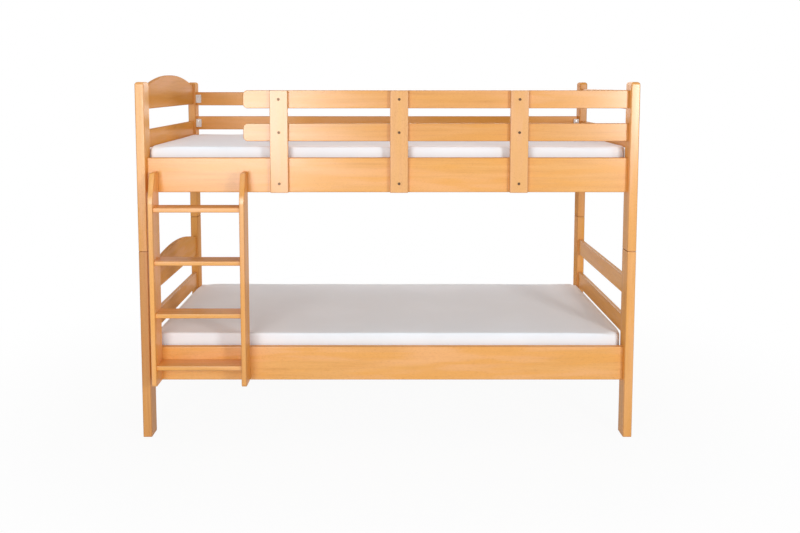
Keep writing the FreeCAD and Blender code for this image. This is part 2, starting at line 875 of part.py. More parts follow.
def build():
    """All nodes of the bunk bed by name."""
    nodes = bed_frame(LOWER)
    nodes.update(bed_frame(UPPER))
    nodes.update(guard_and_ladder())
    nodes["stacking_pins"] = stacking_pins()
    nodes["upper_front_rail"] = nodes["upper_front_rail"].cut(front_rail_bores())
    for end in (-1, 1):
        tips = block_screw_bores(end, True)
        for row in (-1, 1):
            name = f"upper_post_{ROW_NAMES[row]}_{SIDE_NAMES[end]}"
            nodes[name] = nodes[name].cut(tips)
    return nodes


os.makedirs("parts", exist_ok=True)
for node_name, node_shape in build().items():
    if isinstance(node_shape, list):
        node_shape = Part.makeCompound(node_shape)
    solids = node_shape.Solids
    shape = solids[0] if len(solids) == 1 else Part.makeCompound(solids)
    valid = all(solid.isValid() for solid in solids)
    print(f"{node_name}: {len(solids)} solids, {shape.Volume:.0f} mm3, valid {valid}")
    shape.exportStep(f"parts/{node_name}.step")
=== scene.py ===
import logging
import math
import random
from dataclasses import dataclass, replace
from enum import Enum
from typing import Callable, Iterable, Optional, Sequence

import bmesh
import bpy
from mathutils import Euler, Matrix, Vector, noise


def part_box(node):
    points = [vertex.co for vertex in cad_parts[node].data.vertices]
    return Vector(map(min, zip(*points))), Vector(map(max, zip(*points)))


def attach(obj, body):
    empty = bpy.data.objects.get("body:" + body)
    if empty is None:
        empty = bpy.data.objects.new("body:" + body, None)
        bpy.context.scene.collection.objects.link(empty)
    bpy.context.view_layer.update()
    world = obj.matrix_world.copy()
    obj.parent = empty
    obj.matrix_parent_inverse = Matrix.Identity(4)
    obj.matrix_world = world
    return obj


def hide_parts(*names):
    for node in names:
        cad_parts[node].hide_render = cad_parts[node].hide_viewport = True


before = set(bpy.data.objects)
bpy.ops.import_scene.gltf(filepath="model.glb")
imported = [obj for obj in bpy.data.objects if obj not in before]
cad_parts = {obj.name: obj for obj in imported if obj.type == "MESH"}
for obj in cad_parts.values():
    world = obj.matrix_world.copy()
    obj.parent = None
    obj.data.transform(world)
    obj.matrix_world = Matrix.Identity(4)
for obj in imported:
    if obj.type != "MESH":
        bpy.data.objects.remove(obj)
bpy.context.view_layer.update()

MM = 0.001
LOG = logging.getLogger("bunk_bed")

Colour = tuple[float, float, float, float]
Triple = tuple[float, float, float]
Piece = bpy.types.Object
Material = bpy.types.Material
EdgeTest = Callable[[Vector, Vector], bool]


class Axis(Enum):
    """A direction of the row frame."""

    X = 0
    Y = 1
    Z = 2

    @property
    def vector(self) -> Vector:
        """The unit vector of this axis."""
        return Vector([1.0 if index == self.value else 0.0 for index in range(3)])


class Level(Enum):
    """Which of the two stacked beds."""

    LOWER = "lower"
    UPPER = "upper"


class Row(Enum):
    """The row of posts in front or behind."""

    FRONT = "front"
    BACK = "back"

    @property
    def outward(self) -> float:
        """The sign of Y on the outside of this row."""
        return -1.0 if self is Row.FRONT else 1.0


class End(Enum):
    """The head of the bed on the left, or its foot on the right."""

    HEAD = "left"
    FOOT = "right"

    @property
    def outward(self) -> float:
        """The sign of X on the outside of this end."""
        return -1.0 if self is End.HEAD else 1.0


class Part(Enum):
    """What is picked in edit mode."""

    EDGE = "EDGE"
    FACE = "FACE"


CORNERS = [(end, row) for end in End for row in Row]


@dataclass(frozen=True)
class Span:
    """A block of space between its lowest and highest corner."""

    low: Vector
    high: Vector

    @staticmethod
    def of(node: str) -> "Span":
        """The space that a node of the frame takes at rest."""
        low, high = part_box(node)
        return Span(Vector(low), Vector(high))

    @property
    def size(self) -> Vector:
        """Its three lengths."""
        return self.high - self.low

    @property
    def centre(self) -> Vector:
        """Its middle."""
        return (self.high + self.low) / 2

    def limited(self, axis: Axis, low: float, high: float) -> "Span":
        """The same span with other limits along one axis.

        Args:
            axis: the axis along which it changes.
            low: the new lower limit.
            high: the new upper limit.

        Returns:
            The new span.
        """
        new_low, new_high = self.low.copy(), self.high.copy()
        new_low[axis.value], new_high[axis.value] = low, high
        return Span(new_low, new_high)

    def thinnest(self) -> Axis:
        """The axis along which it is thinnest."""
        return Axis(min(range(3), key=lambda index: self.size[index]))


# Shader maths

class Wire:
    """A shader socket that can be used in arithmetic."""

    def __init__(self, shader: "Shader", socket: bpy.types.NodeSocket) -> None:
        """Keeps the socket and the shader that it belongs to."""
        self.shader = shader
        self.socket = socket

    def sibling(self, output: object) -> "Wire":
        """Another output of the same node."""
        return Wire(self.shader, self.socket.node.outputs[output])

    def __add__(self, other: object) -> "Wire":
        """Sum of two values."""
        return self.shader.maths("ADD", self, other)

    def __radd__(self, other: object) -> "Wire":
        """Sum with a number on the left."""
        return self.shader.maths("ADD", other, self)

    def __sub__(self, other: object) -> "Wire":
        """Difference of two values."""
        return self.shader.maths("SUBTRACT", self, other)

    def __rsub__(self, other: object) -> "Wire":
        """Difference from a number on the left."""
        return self.shader.maths("SUBTRACT", other, self)

    def __mul__(self, other: object) -> "Wire":
        """Product of two values."""
        return self.shader.maths("MULTIPLY", self, other)

    def __rmul__(self, other: object) -> "Wire":
        """Product with a number on the left."""
        return self.shader.maths("MULTIPLY", other, self)

    def __truediv__(self, other: object) -> "Wire":
        """Quotient of two values."""
        return self.shader.maths("DIVIDE", self, other)

    def __pow__(self, other: object) -> "Wire":
        """Power of a value."""
        return self.shader.maths("POWER", self, other)

    def sine(self) -> "Wire":
        """Sine of a value in radians."""
        return self.shader.maths("SINE", self)

    def root(self) -> "Wire":
        """Square root of a value."""
        return self.shader.maths("SQRT", self)

    def between(self, low: float, high: float) -> "Wire":
        """A smooth step from 0 at low to 1 at high.

        Args:
            low: the value that gives 0.
            high: the value that gives 1.

        Returns:
            The stepped value.
        """
        return self.shader.node(
            "ShaderNodeMapRange", {"interpolation_type": "SMOOTHSTEP", "clamp": True},
            {"Value": self, "From Min": low, "From Max": high, "To Min": 0.0, "To Max": 1.0})


class Shader:
    """A node material, or the world's nodes, under construction."""

    def __init__(self, name: str, owner: Optional[bpy.types.ID] = None) -> None:
        """Empties the nodes of their owner.

        Args:
            name: the name of a new material.
            owner: a world whose nodes are made in its place.
        """
        self.owner = owner or bpy.data.materials.new(name)
        self.owner.use_nodes = True
        self.tree = self.owner.node_tree
        self.tree.nodes.clear()

    def node(self, kind: str, settings: Optional[dict] = None, inputs: Optional[dict] = None,
             output: object = 0) -> Wire:
        """Adds one node.

        Args:
            kind: the node's type.
            settings: its properties, or "stops" for a ramp's positions and colours.
            inputs: values or wires by socket name or index.
            output: the name or index of the socket that is returned.

        Returns:
            The wire of that output.
        """
        made = self.tree.nodes.new(kind)
        for name, value in (settings or {}).items():
            if name == "stops":
                self._set_stops(made.color_ramp, value)
            else:
                setattr(made, name, value)
        for name, value in (inputs or {}).items():
            if isinstance(value, Wire):
                self.tree.links.new(value.socket, made.inputs[name])
            else:
                made.inputs[name].default_value = value
        return Wire(self, made.outputs[output] if made.outputs else None)

    @staticmethod
    def _set_stops(ramp: bpy.types.ColorRamp, stops: Sequence[tuple[float, Colour]]) -> None:
        """Gives a ramp its stops.

        Args:
            ramp: the ramp.
            stops: positions and colours, in order.
        """
        while len(ramp.elements) < len(stops):
            ramp.elements.new(1.0)
        for element, (position, colour) in zip(ramp.elements, stops):
            element.position = position
            element.color = colour

    def maths(self, operation: str, *values: object) -> Wire:
        """One Math node on numbers and wires."""
        return self.node("ShaderNodeMath", {"operation": operation}, dict(enumerate(values)))

    def place(self) -> Wire:
        """The object's own coordinates."""
        return self.node("ShaderNodeTexCoord", output="Object")

    def parts(self, place: Wire) -> list[Wire]:
        """The X, Y and Z of coordinates."""
        first = self.node("ShaderNodeSeparateXYZ", {}, {0: place})
        return [first.sibling(index) for index in range(3)]

    def mix(self, share: object, first: object, second: object, blend: str = "MIX") -> Wire:
        """Mixes two colours.

        Args:
            share: how much of the second colour shows.
            first: the first colour.
            second: the second colour.
            blend: how they mix.

        Returns:
            The mixed colour.
        """
        settings = {"data_type": "RGBA", "blend_type": blend}
        return self.node("ShaderNodeMix", settings, {0: share, 6: first, 7: second}, 2)

    def tint(self, share: object, first: object, second: object) -> Wire:
        """Multiplies a colour by another, by a share."""
        return self.mix(share, first, second, "MULTIPLY")

    def noise(self, place: Wire, scale: float, detail: float = 2.0, roughness: float = 0.5) -> Wire:
        """A noise value at a place.

        Args:
            place: the coordinates.
            scale: how many features there are to a metre.
            detail: how many finer layers it has.
            roughness: how strong the finer layers are.

        Returns:
            The noise, about 0.5 on average.
        """
        return self.node("ShaderNodeTexNoise", {"noise_dimensions": "3D"},
                         {"Vector": place, "Scale": scale, "Detail": detail, "Roughness": roughness})

    def figure(self, place: Wire, factors: Triple, scale: float = 1.0, detail: float = 2.0,
               roughness: float = 0.5) -> Wire:
        """A noise value on coordinates stretched along their axes.

        Args:
            place: the coordinates.
            factors: what each of them is multiplied by.
            scale: how many features there are to a stretched metre.
            detail: how many finer layers it has.
            roughness: how strong the finer layers are.

        Returns:
            The noise, about 0.5 on average.
        """
        stretched = self.node("ShaderNodeVectorMath", {"operation": "MULTIPLY"}, {0: place, 1: factors})
        return self.noise(stretched, scale, detail, roughness)

    def bump(self, height: Wire, distance: float, strength: float) -> Wire:
        """A Bump node fed by a height."""
        return self.node("ShaderNodeBump", {}, {"Height": height, "Distance": distance, "Strength": strength})

    def seen(self) -> Wire:
        """What tells the light that reaches the eye from the light that falls on things.

        Returns:
            1 where something is seen directly, in a gloss or through glass, or else 0.
        """
        camera = self.node("ShaderNodeLightPath", output="Is Camera Ray")
        rays = camera + camera.sibling("Is Glossy Ray") + camera.sibling("Is Transmission Ray")
        return self.maths("MINIMUM", rays, 1.0)

    def close(self, surface: Wire, output: str = "ShaderNodeOutputMaterial") -> bpy.types.ID:
        """Joins a surface to an output node and gives the owner of the nodes."""
        self.node(output, {}, {"Surface": surface})
        return self.owner

    def finish(self, inputs: dict) -> Material:
        """Closes the material with a Principled shader and gives it."""
        return self.close(self.node("ShaderNodeBsdfPrincipled", {}, inputs))


def grey(value: float) -> Colour:
    """An opaque neutral colour."""
    return (value, value, value, 1.0)


# Finishes

@dataclass(frozen=True)
class Beech:
    """Beech under satin lacquer, or planed and left bare."""

    slot: str = "lacquered_beech"
    early: Colour = (0.85, 0.432, 0.132, 1.0)
    middle: Colour = (0.78, 0.358, 0.088, 1.0)
    late: Colour = (0.62, 0.240, 0.046, 1.0)
    rose: Colour = (0.86, 0.415, 0.160, 1.0)
    honey: Colour = (0.80, 0.348, 0.062, 1.0)
    fleck: Colour = (0.42, 0.17, 0.05, 1.0)
    # Painted shade along every board edge, where the rounds turn away from the lamps: its colour, its share and its
    # width.
    edge: Colour = (0.50, 0.36, 0.24, 1.0)
    edge_shade_share: float = 0.55
    edge_shade_width: float = 3.6 * MM
    cloud_share: float = 0.75
    line_share: float = 0.13
    fleck_share: float = 0.34
    roughness: float = 0.45
    specular: float = 0.0
    coat: float = 0.40
    coat_index: float = 2.2
    coat_roughness: float = 0.27
    ring_pitch: float = 17.0 * MM
    ring_unevenness: float = 3.0
    ring_sharpness: float = 5.0
    heart_aside: tuple[float, float] = (0.02, 0.13)
    heart_behind: tuple[float, float] = (0.035, 0.10)
    heart_along: tuple[float, float] = (0.0, 9.0)
    wander_scale: Triple = (1.0, 0.3, 0.3)
    sway_scale: Triple = (1.0, 2.0, 2.0)
    streak_scale: Triple = (2.4, 62.0, 62.0)
    fibre_scale: Triple = (9.0, 420.0, 420.0)
    drift_scale: Triple = (0.9, 7.0, 7.0)
    strong_scale: Triple = (1.3, 16.0, 16.0)
    fleck_scale: Triple = (150.0, 1050.0, 1050.0)
    cloud_scale: Triple = (2.6, 24.0, 24.0)
    wander: float = 30.0 * MM
    sway: float = 6.0 * MM
    tone_spread: tuple[float, float] = (0.975, 1.02)
    relief: float = 0.12 * MM

    def material(self, name: str, span: Span, grain: Axis, tone: float = 1.0) -> Material:
        """The wood of one board, cut from its own place in a log.

        Args:
            name: the board's name, which seeds its pattern.
            span: the space of the board.
            grain: the axis of its fibres.
            tone: how light the board is, about 1, with painted light and shade for some boards.

        Returns:
            The material.
        """
        draw = random.Random(name)
        shader = Shader(f"{self.slot}_{name}")
        along, across, through = self._place(shader, span, grain, draw)
        place = shader.node("ShaderNodeCombineXYZ", {}, {"X": along, "Y": across, "Z": through})
        wander = shader.figure(place, self.wander_scale, 1.5)
        sway = shader.figure(place, self.sway_scale, 5.0)
        radius = (across * across + through * through).root()
        radius = radius + (wander - 0.5) * self.wander + (sway - 0.5) * self.sway
        uneven = shader.node("ShaderNodeTexNoise", {"noise_dimensions": "1D"},
                             {"W": radius, "Scale": 24.0, "Detail": 2.0, "Roughness": 0.5})
        line = shader.maths("FRACT", radius / self.ring_pitch + uneven * self.ring_unevenness) ** self.ring_sharpness
        streaks = shader.figure(place, self.streak_scale, 1.0, 5.0, 0.62)
        fibre = shader.figure(place, self.fibre_scale, 1.0, 2.0, 0.6)
        drift = shader.figure(place, self.drift_scale, 1.6)
        strong = shader.figure(place, self.strong_scale).between(0.44, 0.64)
        flecks = shader.figure(place, self.fleck_scale, 1.0, 1.0).between(0.60, 0.70)
        cloud = shader.figure(place, self.cloud_scale, 1.0, 3.0)
        figure = streaks * 0.32 + fibre * 0.18 + line * -0.05 + 0.225
        stops = [(0.28, self.late), (0.47, self.middle), (0.66, self.early)]
        colour = shader.node("ShaderNodeValToRGB", {"stops": stops}, {"Fac": figure})
        colour = shader.mix(drift.between(0.42, 0.66) * self.cloud_share, colour, self.rose)
        colour = shader.mix(cloud.between(0.43, 0.64) * self.cloud_share, colour, self.honey)
        colour = shader.mix(line * strong * self.line_share, colour, self.late)
        colour = shader.tint(flecks * self.fleck_share, colour, self.fleck)
        # Painted shade: the colour darkens within a few millimetres of each edge of the board's box.
        if self.edge_shade_share:
            painted_edge_shade = 1 - self._edge_distance(shader, span).between(self.edge_shade_width / 4, self.edge_shade_width)
            colour = shader.tint(painted_edge_shade * self.edge_shade_share, colour, self.edge)
        # The board's tone with its random spread; the powers make darker boards redder and lighter ones paler, with
        # the reddening as painted warm bounce light.
        shade = tone * draw.uniform(*self.tone_spread)
        colour = shader.tint(1.0, colour, (shade, shade ** 1.4, shade ** 1.6, 1.0))
        lacquer = self.coat * (1.1 - fibre * 0.2 - flecks * 0.15) if self.coat else 0.0
        height = fibre * 0.6 + line * -0.12 + flecks * -0.6
        return shader.finish({"Base Color": colour, "Specular IOR Level": self.specular,
                              "Roughness": self.roughness + (fibre - 0.5) * 0.16 + flecks * 0.08,
                              "Coat Weight": lacquer, "Coat Roughness": self.coat_roughness,
                              "Coat IOR": self.coat_index, "Normal": shader.bump(height, self.relief, 0.55)})

    @staticmethod
    def _edge_distance(shader: Shader, span: Span) -> Wire:
        """How far a point of a board's surface is from the nearest edge of the board.

        Args:
            shader: the material under construction.
            span: the space of the board.

        Returns:
            The distance in metres, which is the middle one of the three depths.
        """
        depths = [size / 2 - shader.maths("ABSOLUTE", part - middle)
                  for part, middle, size in zip(shader.parts(shader.place()), span.centre, span.size)]
        least, most = (shader.maths(pick, shader.maths(pick, depths[0], depths[1]), depths[2])
                       for pick in ("MINIMUM", "MAXIMUM"))
        return depths[0] + depths[1] + depths[2] - least - most

    def _place(self, shader: Shader, span: Span, grain: Axis, draw: random.Random) -> list[Wire]:
        """Coordinates along, across and through a board, from the heart of its log.

        Args:
            shader: the material under construction.
            span: the space of the board.
            grain: the axis of its fibres.
            draw: the board's own random numbers.

        Returns:
            The three coordinates in metres.
        """
        quarter = math.pi / 2
        turn = {Axis.X: Euler((0, 0, 0)), Axis.Y: Euler((0, 0, -quarter)), Axis.Z: Euler((0, quarter, 0))}[grain]
        aside = draw.choice((-1, 1)) * draw.uniform(*self.heart_aside)
        heart = Vector((draw.uniform(*self.heart_along), aside, draw.uniform(*self.heart_behind)))
        thin = turn.to_matrix() @ span.thinnest().vector
        if abs(thin.y) > abs(thin.z):
            heart.y, heart.z = heart.z, heart.y
        shift = heart - turn.to_matrix() @ span.centre
        return shader.parts(shader.node("ShaderNodeMapping", {"vector_type": "POINT"},
                                        {"Vector": shader.place(), "Rotation": turn, "Location": shift}))


LACQUERED_BEECH = Beech()
INNER_BEECH = replace(LACQUERED_BEECH, coat=0.11)
PALE_BEECH = Beech(early=(0.85, 0.460, 0.185, 1.0), middle=(0.79, 0.390, 0.135, 1.0), late=(0.65, 0.275, 0.080, 1.0),
                   rose=(0.83, 0.430, 0.195, 1.0), honey=(0.80, 0.400, 0.125, 1.0))
RAW_BEECH = Beech("raw_beech", (0.74, 0.50, 0.30, 1.0), (0.66, 0.42, 0.24, 1.0), (0.54, 0.32, 0.16, 1.0),
                  (0.72, 0.46, 0.29, 1.0), (0.70, 0.45, 0.24, 1.0),
                  edge_shade_share=0.0, roughness=0.62, specular=0.3, coat=0.0)
SLAT_WOOD = Beech("slat_wood", (0.80, 0.62, 0.40, 1.0), (0.74, 0.53, 0.31, 1.0), (0.60, 0.38, 0.18, 1.0),
                  (0.78, 0.58, 0.38, 1.0), (0.78, 0.58, 0.33, 1.0), edge_shade_share=0.0, line_share=0.3,
                  fleck_share=0.08, roughness=0.66, specular=0.3, coat=0.0, ring_pitch=9.0 * MM)

INNER_PIECES = frozenset({
    "lower_head_arch_board", "upper_head_arch_board", "upper_head_slat", "lower_post_back_left",
    "lower_post_back_right", "upper_post_back_left", "upper_post_back_right", "back_guard_bottom_board",
    "back_guard_top_board"})
# How light each board is: partly its own tone, partly painted light and shade, as on the darker lower front left post
# and head arch board and the lighter lower rail, treads and foot slats.
TONES_AND_PAINTED_LIGHT = {
    "lower_post_front_left": 0.90, "lower_post_back_left": 0.96, "lower_front_rail": 1.05,
    "upper_post_front_left": 1.05, "upper_post_back_right": 0.96, "upper_front_rail": 1.03,
    "upper_head_arch_board": 0.90, "upper_head_slat": 0.96, "lower_head_arch_board": 0.97,
    "lower_head_slat": 0.99, "lower_foot_lower_slat": 1.06, "lower_foot_upper_slat": 1.06,
    "guard_upright_left": 1.02, "guard_upright_middle": 0.99, "guard_bottom_board": 0.96, "guard_top_board": 0.98,
    "back_guard_bottom_board": 0.98, "back_guard_top_board": 0.98, "ladder_stile_left": 1.08,
    "ladder_stile_right": 0.98, "ladder_tread_1": 1.05, "ladder_tread_2": 1.03, "ladder_tread_3": 1.01}


@dataclass(frozen=True)
class Cotton:
    """Woven white cotton of the mattress covers."""

    slot: str = "mattress_cover"
    colour: Colour = (0.905, 0.91, 0.95, 1.0)
    shade: Colour = (0.83, 0.83, 0.86, 1.0)
    thread_pitch: float = 1.1 * MM
    slub_scale: Triple = (60.0, 700.0, 700.0)
    crease_scale: Triple = (9.0, 14.0, 30.0)
    relief: float = 0.16 * MM

    def material(self, name: str) -> Material:
        """The cloth of a piece, woven along the frame's axes.

        Args:
            name: the piece's name.

        Returns:
            The material.
        """
        shader = Shader(f"{self.slot}_{name}")
        place = shader.place()
        turns = 2 * math.pi / self.thread_pitch
        waves = [(part * turns).sine() for part in shader.parts(place)]
        weave = (waves[0] * waves[1] + waves[1] * waves[2] + waves[2] * waves[0]) * 0.3 + 0.5
        slub = shader.figure(place, self.slub_scale)
        cloud = shader.noise(place, 3.2, 3.0)
        share = weave * 0.25 + slub * 0.35 + cloud.between(0.35, 0.7) * 0.4
        crease = shader.figure(place, self.crease_scale, 1.0, 4.0, 0.55)
        normal = shader.bump(weave * 0.25 + slub * 0.35 + crease * 6.0, self.relief, 0.5)
        return shader.finish({"Base Color": shader.mix(share, self.shade, self.colour), "Roughness": 0.86 + slub * 0.1,
                              "Sheen Weight": 0.25, "Sheen Roughness": 0.5, "Normal": normal})


@dataclass(frozen=True)
class Webbing:
    """Woven white tape."""

    slot: str = "webbing"
    colour: Colour = (0.78, 0.77, 0.73, 1.0)
    soiled: Colour = (0.7, 0.68, 0.63, 1.0)
    rib_pitch: float = 1.6 * MM
    relief: float = 0.2 * MM

    def material(self, name: str) -> Material:
        """The tape of a piece, ribbed across its length.

        Args:
            name: the piece's name.

        Returns:
            The material.
        """
        shader = Shader(f"{self.slot}_{name}")
        place = shader.place()
        turns = 2 * math.pi / self.rib_pitch
        weft, warp = [(part * turns).sine() for part in shader.parts(place)[:2]]
        rib = warp * weft * 0.5 + 0.5
        soil = shader.noise(place, 14.0, 3.0)
        colour = shader.tint((1 - rib) * 0.3 + soil * 0.2, self.colour, self.soiled)
        return shader.finish({"Base Color": colour, "Roughness": 0.8 + soil * 0.1,
                              "Normal": shader.bump(rib, self.relief, 0.6)})


@dataclass(frozen=True)
class Metal:
    """Plated or bronzed steel."""

    slot: str
    colour: Colour
    worn: Colour
    roughness: float = 0.32
    metallic: float = 1.0
    relief: float = 0.03 * MM

    def material(self, name: str) -> Material:
        """The metal of a piece, uneven in its gloss and paler in worn spots.

        Args:
            name: the piece's name.

        Returns:
            The material.
        """
        shader = Shader(f"{self.slot}_{name}")
        place = shader.place()
        spots = shader.noise(place, 420.0, 4.0, 0.6)
        cloud = shader.noise(place, 60.0, 2.0)
        colour = shader.mix(spots.between(0.5, 0.75) * 0.5, self.colour, self.worn)
        return shader.finish({"Base Color": colour, "Metallic": self.metallic,
                              "Roughness": self.roughness + (cloud - 0.5) * 0.2,
                              "Normal": shader.bump(spots, self.relief, 0.4)})


@dataclass(frozen=True)
class Plastic:
    """Moulded white plastic."""

    slot: str = "white_plastic"
    colour: Colour = (0.87, 0.87, 0.86, 1.0)
    relief: float = 0.03 * MM

    def material(self, name: str) -> Material:
        """The plastic of a piece, finely textured.

        Args:
            name: the piece's name.

        Returns:
            The material.
        """
        shader = Shader(f"{self.slot}_{name}")
        place = shader.place()
        skin = shader.noise(place, 900.0, 2.0)
        cloud = shader.noise(place, 40.0, 2.0)
        return shader.finish({"Base Color": shader.tint(cloud * 0.25, self.colour, grey(0.85)),
                              "Roughness": 0.42 + skin * 0.12, "Normal": shader.bump(skin, self.relief, 0.4)})


COTTON, WEBBING, PLASTIC = Cotton(), Webbing(), Plastic()
ZINC = Metal("zinc_steel", (0.62, 0.63, 0.64, 1.0), (0.74, 0.75, 0.76, 1.0))
BRONZED = Metal("bronzed_steel", (0.105, 0.058, 0.032, 1.0), (0.30, 0.20, 0.12, 1.0), 0.34, 0.85)


# Modelling

class Bench:
    """Modelling with Blender's operators, as by hand."""

    SMOOTH_ANGLE = math.radians(32)
    ALIGNED = 0.999
    SAME_PLACE = 0.02 * MM

    @staticmethod
    def clear() -> None:
        """Leaves edit mode and deselects everything."""
        if bpy.context.mode != "OBJECT":
            bpy.ops.object.mode_set(mode="OBJECT")
        bpy.ops.object.select_all(action="DESELECT")

    @classmethod
    def take(cls, piece: Piece) -> None:
        """Selects one piece alone and makes it active.

        Args:
            piece: the piece.
        """
        cls.clear()
        piece.select_set(True)
        bpy.context.view_layer.objects.active = piece

    @classmethod
    def edit(cls, piece: Piece, part: Part, wanted: Callable[..., bool]) -> None:
        """Opens a piece in edit mode with some of its edges or faces selected.

        Args:
            piece: the piece.
            part: whether edges or faces are picked.
            wanted: the test that picks them.
        """
        cls.take(piece)
        bpy.ops.object.mode_set(mode="EDIT")
        bpy.ops.mesh.select_mode(type=part.value)
        bpy.ops.mesh.select_all(action="DESELECT")
        mesh = bmesh.from_edit_mesh(piece.data)
        for item in (mesh.edges if part is Part.EDGE else mesh.faces):
            if wanted(item):
                item.select_set(True)
        bmesh.update_edit_mesh(piece.data)

    @classmethod
    def settle(cls, piece: Piece, name: str) -> Piece:
        """Puts a piece's place, turn and scale into its mesh and names it.

        Args:
            piece: the piece.
            name: its new name.

        Returns:
            The same piece.
        """
        cls.take(piece)
        bpy.ops.object.transform_apply(location=True, rotation=True, scale=True)
        piece.name = piece.data.name = name
        return piece

    @classmethod
    def block(cls, name: str, span: Span) -> Piece:
        """A block that fills a span.

        Args:
            name: the piece's name.
            span: its space.

        Returns:
            The piece.
        """
        cls.clear()
        bpy.ops.mesh.primitive_cube_add(size=1.0, location=span.centre)
        piece = bpy.context.object
        piece.scale = span.size
        return cls.settle(piece, name)

    @classmethod
    def bar(cls, name: str, start: Vector, end: Vector, radius: float, sides: int = 40) -> Piece:
        """A round bar between two points.

        Args:
            name: the piece's name.
            start: the middle of its first end.
            end: the middle of its other end.
            radius: its radius.
            sides: how many sides it has.

        Returns:
            The piece.
        """
        cls.clear()
        line = end - start
        turn = line.to_track_quat("Z", "Y").to_euler()
        bpy.ops.mesh.primitive_cylinder_add(vertices=sides, radius=radius, depth=line.length,
                                            location=(start + end) / 2, rotation=turn)
        return cls.settle(bpy.context.object, name)

    @classmethod
    def round_edges(cls, piece: Piece, wanted: EdgeTest, radius: float, segments: int = 4) -> None:
        """Rounds the edges that a test picks.

        Args:
            piece: the piece.
            wanted: the test on an edge's two ends.
            radius: how far the round reaches from the edge.
            segments: how many faces the round has.
        """
        cls.edit(piece, Part.EDGE, lambda edge: wanted(edge.verts[0].co, edge.verts[1].co))
        bpy.ops.mesh.bevel(offset_type="OFFSET", offset=radius, segments=segments, profile=0.5,
                           affect="EDGES", clamp_overlap=True)
        cls.clear()

    @staticmethod
    def draw_out(x: float, y: float, z: float) -> None:
        """Extrudes what is selected in edit mode by a move."""
        bpy.ops.mesh.extrude_region_move(TRANSFORM_OT_translate={"value": (x, y, z)})

    @classmethod
    def apply(cls, piece: Piece, modifier: bpy.types.Modifier) -> None:
        """Applies one modifier of a piece."""
        cls.take(piece)
        bpy.ops.object.modifier_apply(modifier=modifier.name)

    @classmethod
    def cut(cls, piece: Piece, cutters: Iterable[Piece]) -> None:
        """Cuts other shapes out of a piece and removes them.

        Args:
            piece: the piece.
            cutters: the shapes to cut with.
        """
        for cutter in cutters:
            modifier = piece.modifiers.new("Cut", "BOOLEAN")
            modifier.operation = "DIFFERENCE"
            modifier.solver = "EXACT"
            modifier.object = cutter
            cls.apply(piece, modifier)
            bpy.data.objects.remove(cutter, do_unlink=True)

    @classmethod
    def smooth(cls, piece: Piece) -> None:
        """Shades a piece smooth across its rounds, with flat faces left flat.

        Args:
            piece: the piece.
        """
        cls.take(piece)
        bpy.ops.object.shade_smooth_by_angle(angle=cls.SMOOTH_ANGLE)
        modifier = piece.modifiers.new("Normals", "WEIGHTED_NORMAL")
        modifier.keep_sharp = True
        cls.apply(piece, modifier)

    @classmethod
    def copy(cls, piece: Piece, move: Vector) -> Piece:
        """A copy of a piece with its own mesh, moved.

        Args:
            piece: the piece.
            move: how far the copy is moved.

        Returns:
            The copy.
        """
        cls.take(piece)
        bpy.ops.object.duplicate()
        twin = bpy.context.object
        twin.location = move
        return cls.settle(twin, piece.name)

    @classmethod
    def join(cls, pieces: Sequence[Piece], name: str) -> Piece:
        """Joins pieces into the first one.

        Args:
            pieces: the pieces.
            name: the joined piece's name.

        Returns:
            The joined piece.
        """
        cls.clear()
        for piece in pieces:
            piece.select_set(True)
        bpy.context.view_layer.objects.active = pieces[0]
        bpy.ops.object.join()
        pieces[0].name = pieces[0].data.name = name
        return pieces[0]


def along(axis: Axis) -> EdgeTest:
    """A test for edges that run along an axis."""
    return lambda first, second: abs((second - first).normalized()[axis.value]) > Bench.ALIGNED


def on_plane(axis: Axis, place: float, reach: float = Bench.SAME_PLACE) -> EdgeTest:
    """A test for edges that lie on a plane square to an axis."""
    return lambda first, second: all(abs(point[axis.value] - place) < reach for point in (first, second))


def at_ends(axis: Axis, span: Span) -> EdgeTest:
    """A test for edges at either end of a span along an axis."""
    return either(*(on_plane(axis, corner[axis.value]) for corner in (span.low, span.high)))


def either(*tests: EdgeTest) -> EdgeTest:
    """A test that passes where one of several does."""
    return lambda first, second: any(test(first, second) for test in tests)


def every(*tests: EdgeTest) -> EdgeTest:
    """A test that passes where all of several do."""
    return lambda first, second: all(test(first, second) for test in tests)


def other_than(test: EdgeTest) -> EdgeTest:
    """A test that passes where another doesn't."""
    return lambda first, second: not test(first, second)


def dress(piece: Piece, body: str, slot: str, material: Material, *nodes: str) -> None:
    """Gives a piece its finish and its place in the model.

    Args:
        piece: the piece.
        body: the body that it rides on.
        slot: the name of its material slot, which is not used.
        material: its material.
        nodes: the nodes that it stands for.
    """
    piece.data.materials.clear()
    piece.data.materials.append(material)
    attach(piece, body)
    if nodes:
        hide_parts(*nodes)
    LOG.info("%s on %s: %d faces", piece.name, body, len(piece.data.polygons))


def dress_wood(piece: Piece, body: str, node: str, grain: Axis, finish: Optional[Beech] = None) -> None:
    """Smooths a wooden piece and dresses it as its node.

    Args:
        piece: the piece.
        body: the body that it rides on.
        node: the node that it stands for.
        grain: the axis of its fibres.
        finish: its finish, if it isn't lacquered.
    """
    Bench.smooth(piece)
    if finish is None:
        finish = INNER_BEECH if node in INNER_PIECES else LACQUERED_BEECH
        if "upright" in node:
            finish = PALE_BEECH
    dress(piece, body, finish.slot, finish.material(node, Span.of(node), grain, TONES_AND_PAINTED_LIGHT.get(node, 1.0)), node)


def dress_set(pieces: Sequence[Piece], kind: str, body: str, node: str,
              finish: "Metal | Plastic | Webbing") -> None:
    """Joins small pieces and dresses them as their node.

    Args:
        pieces: the pieces.
        kind: the word that ends the joined piece's name.
        body: the body that they ride on.
        node: the node that they stand for.
        finish: their finish.
    """
    piece = Bench.join(pieces, f"{node}_{kind}")
    dress(piece, body, finish.slot, finish.material(node), node)


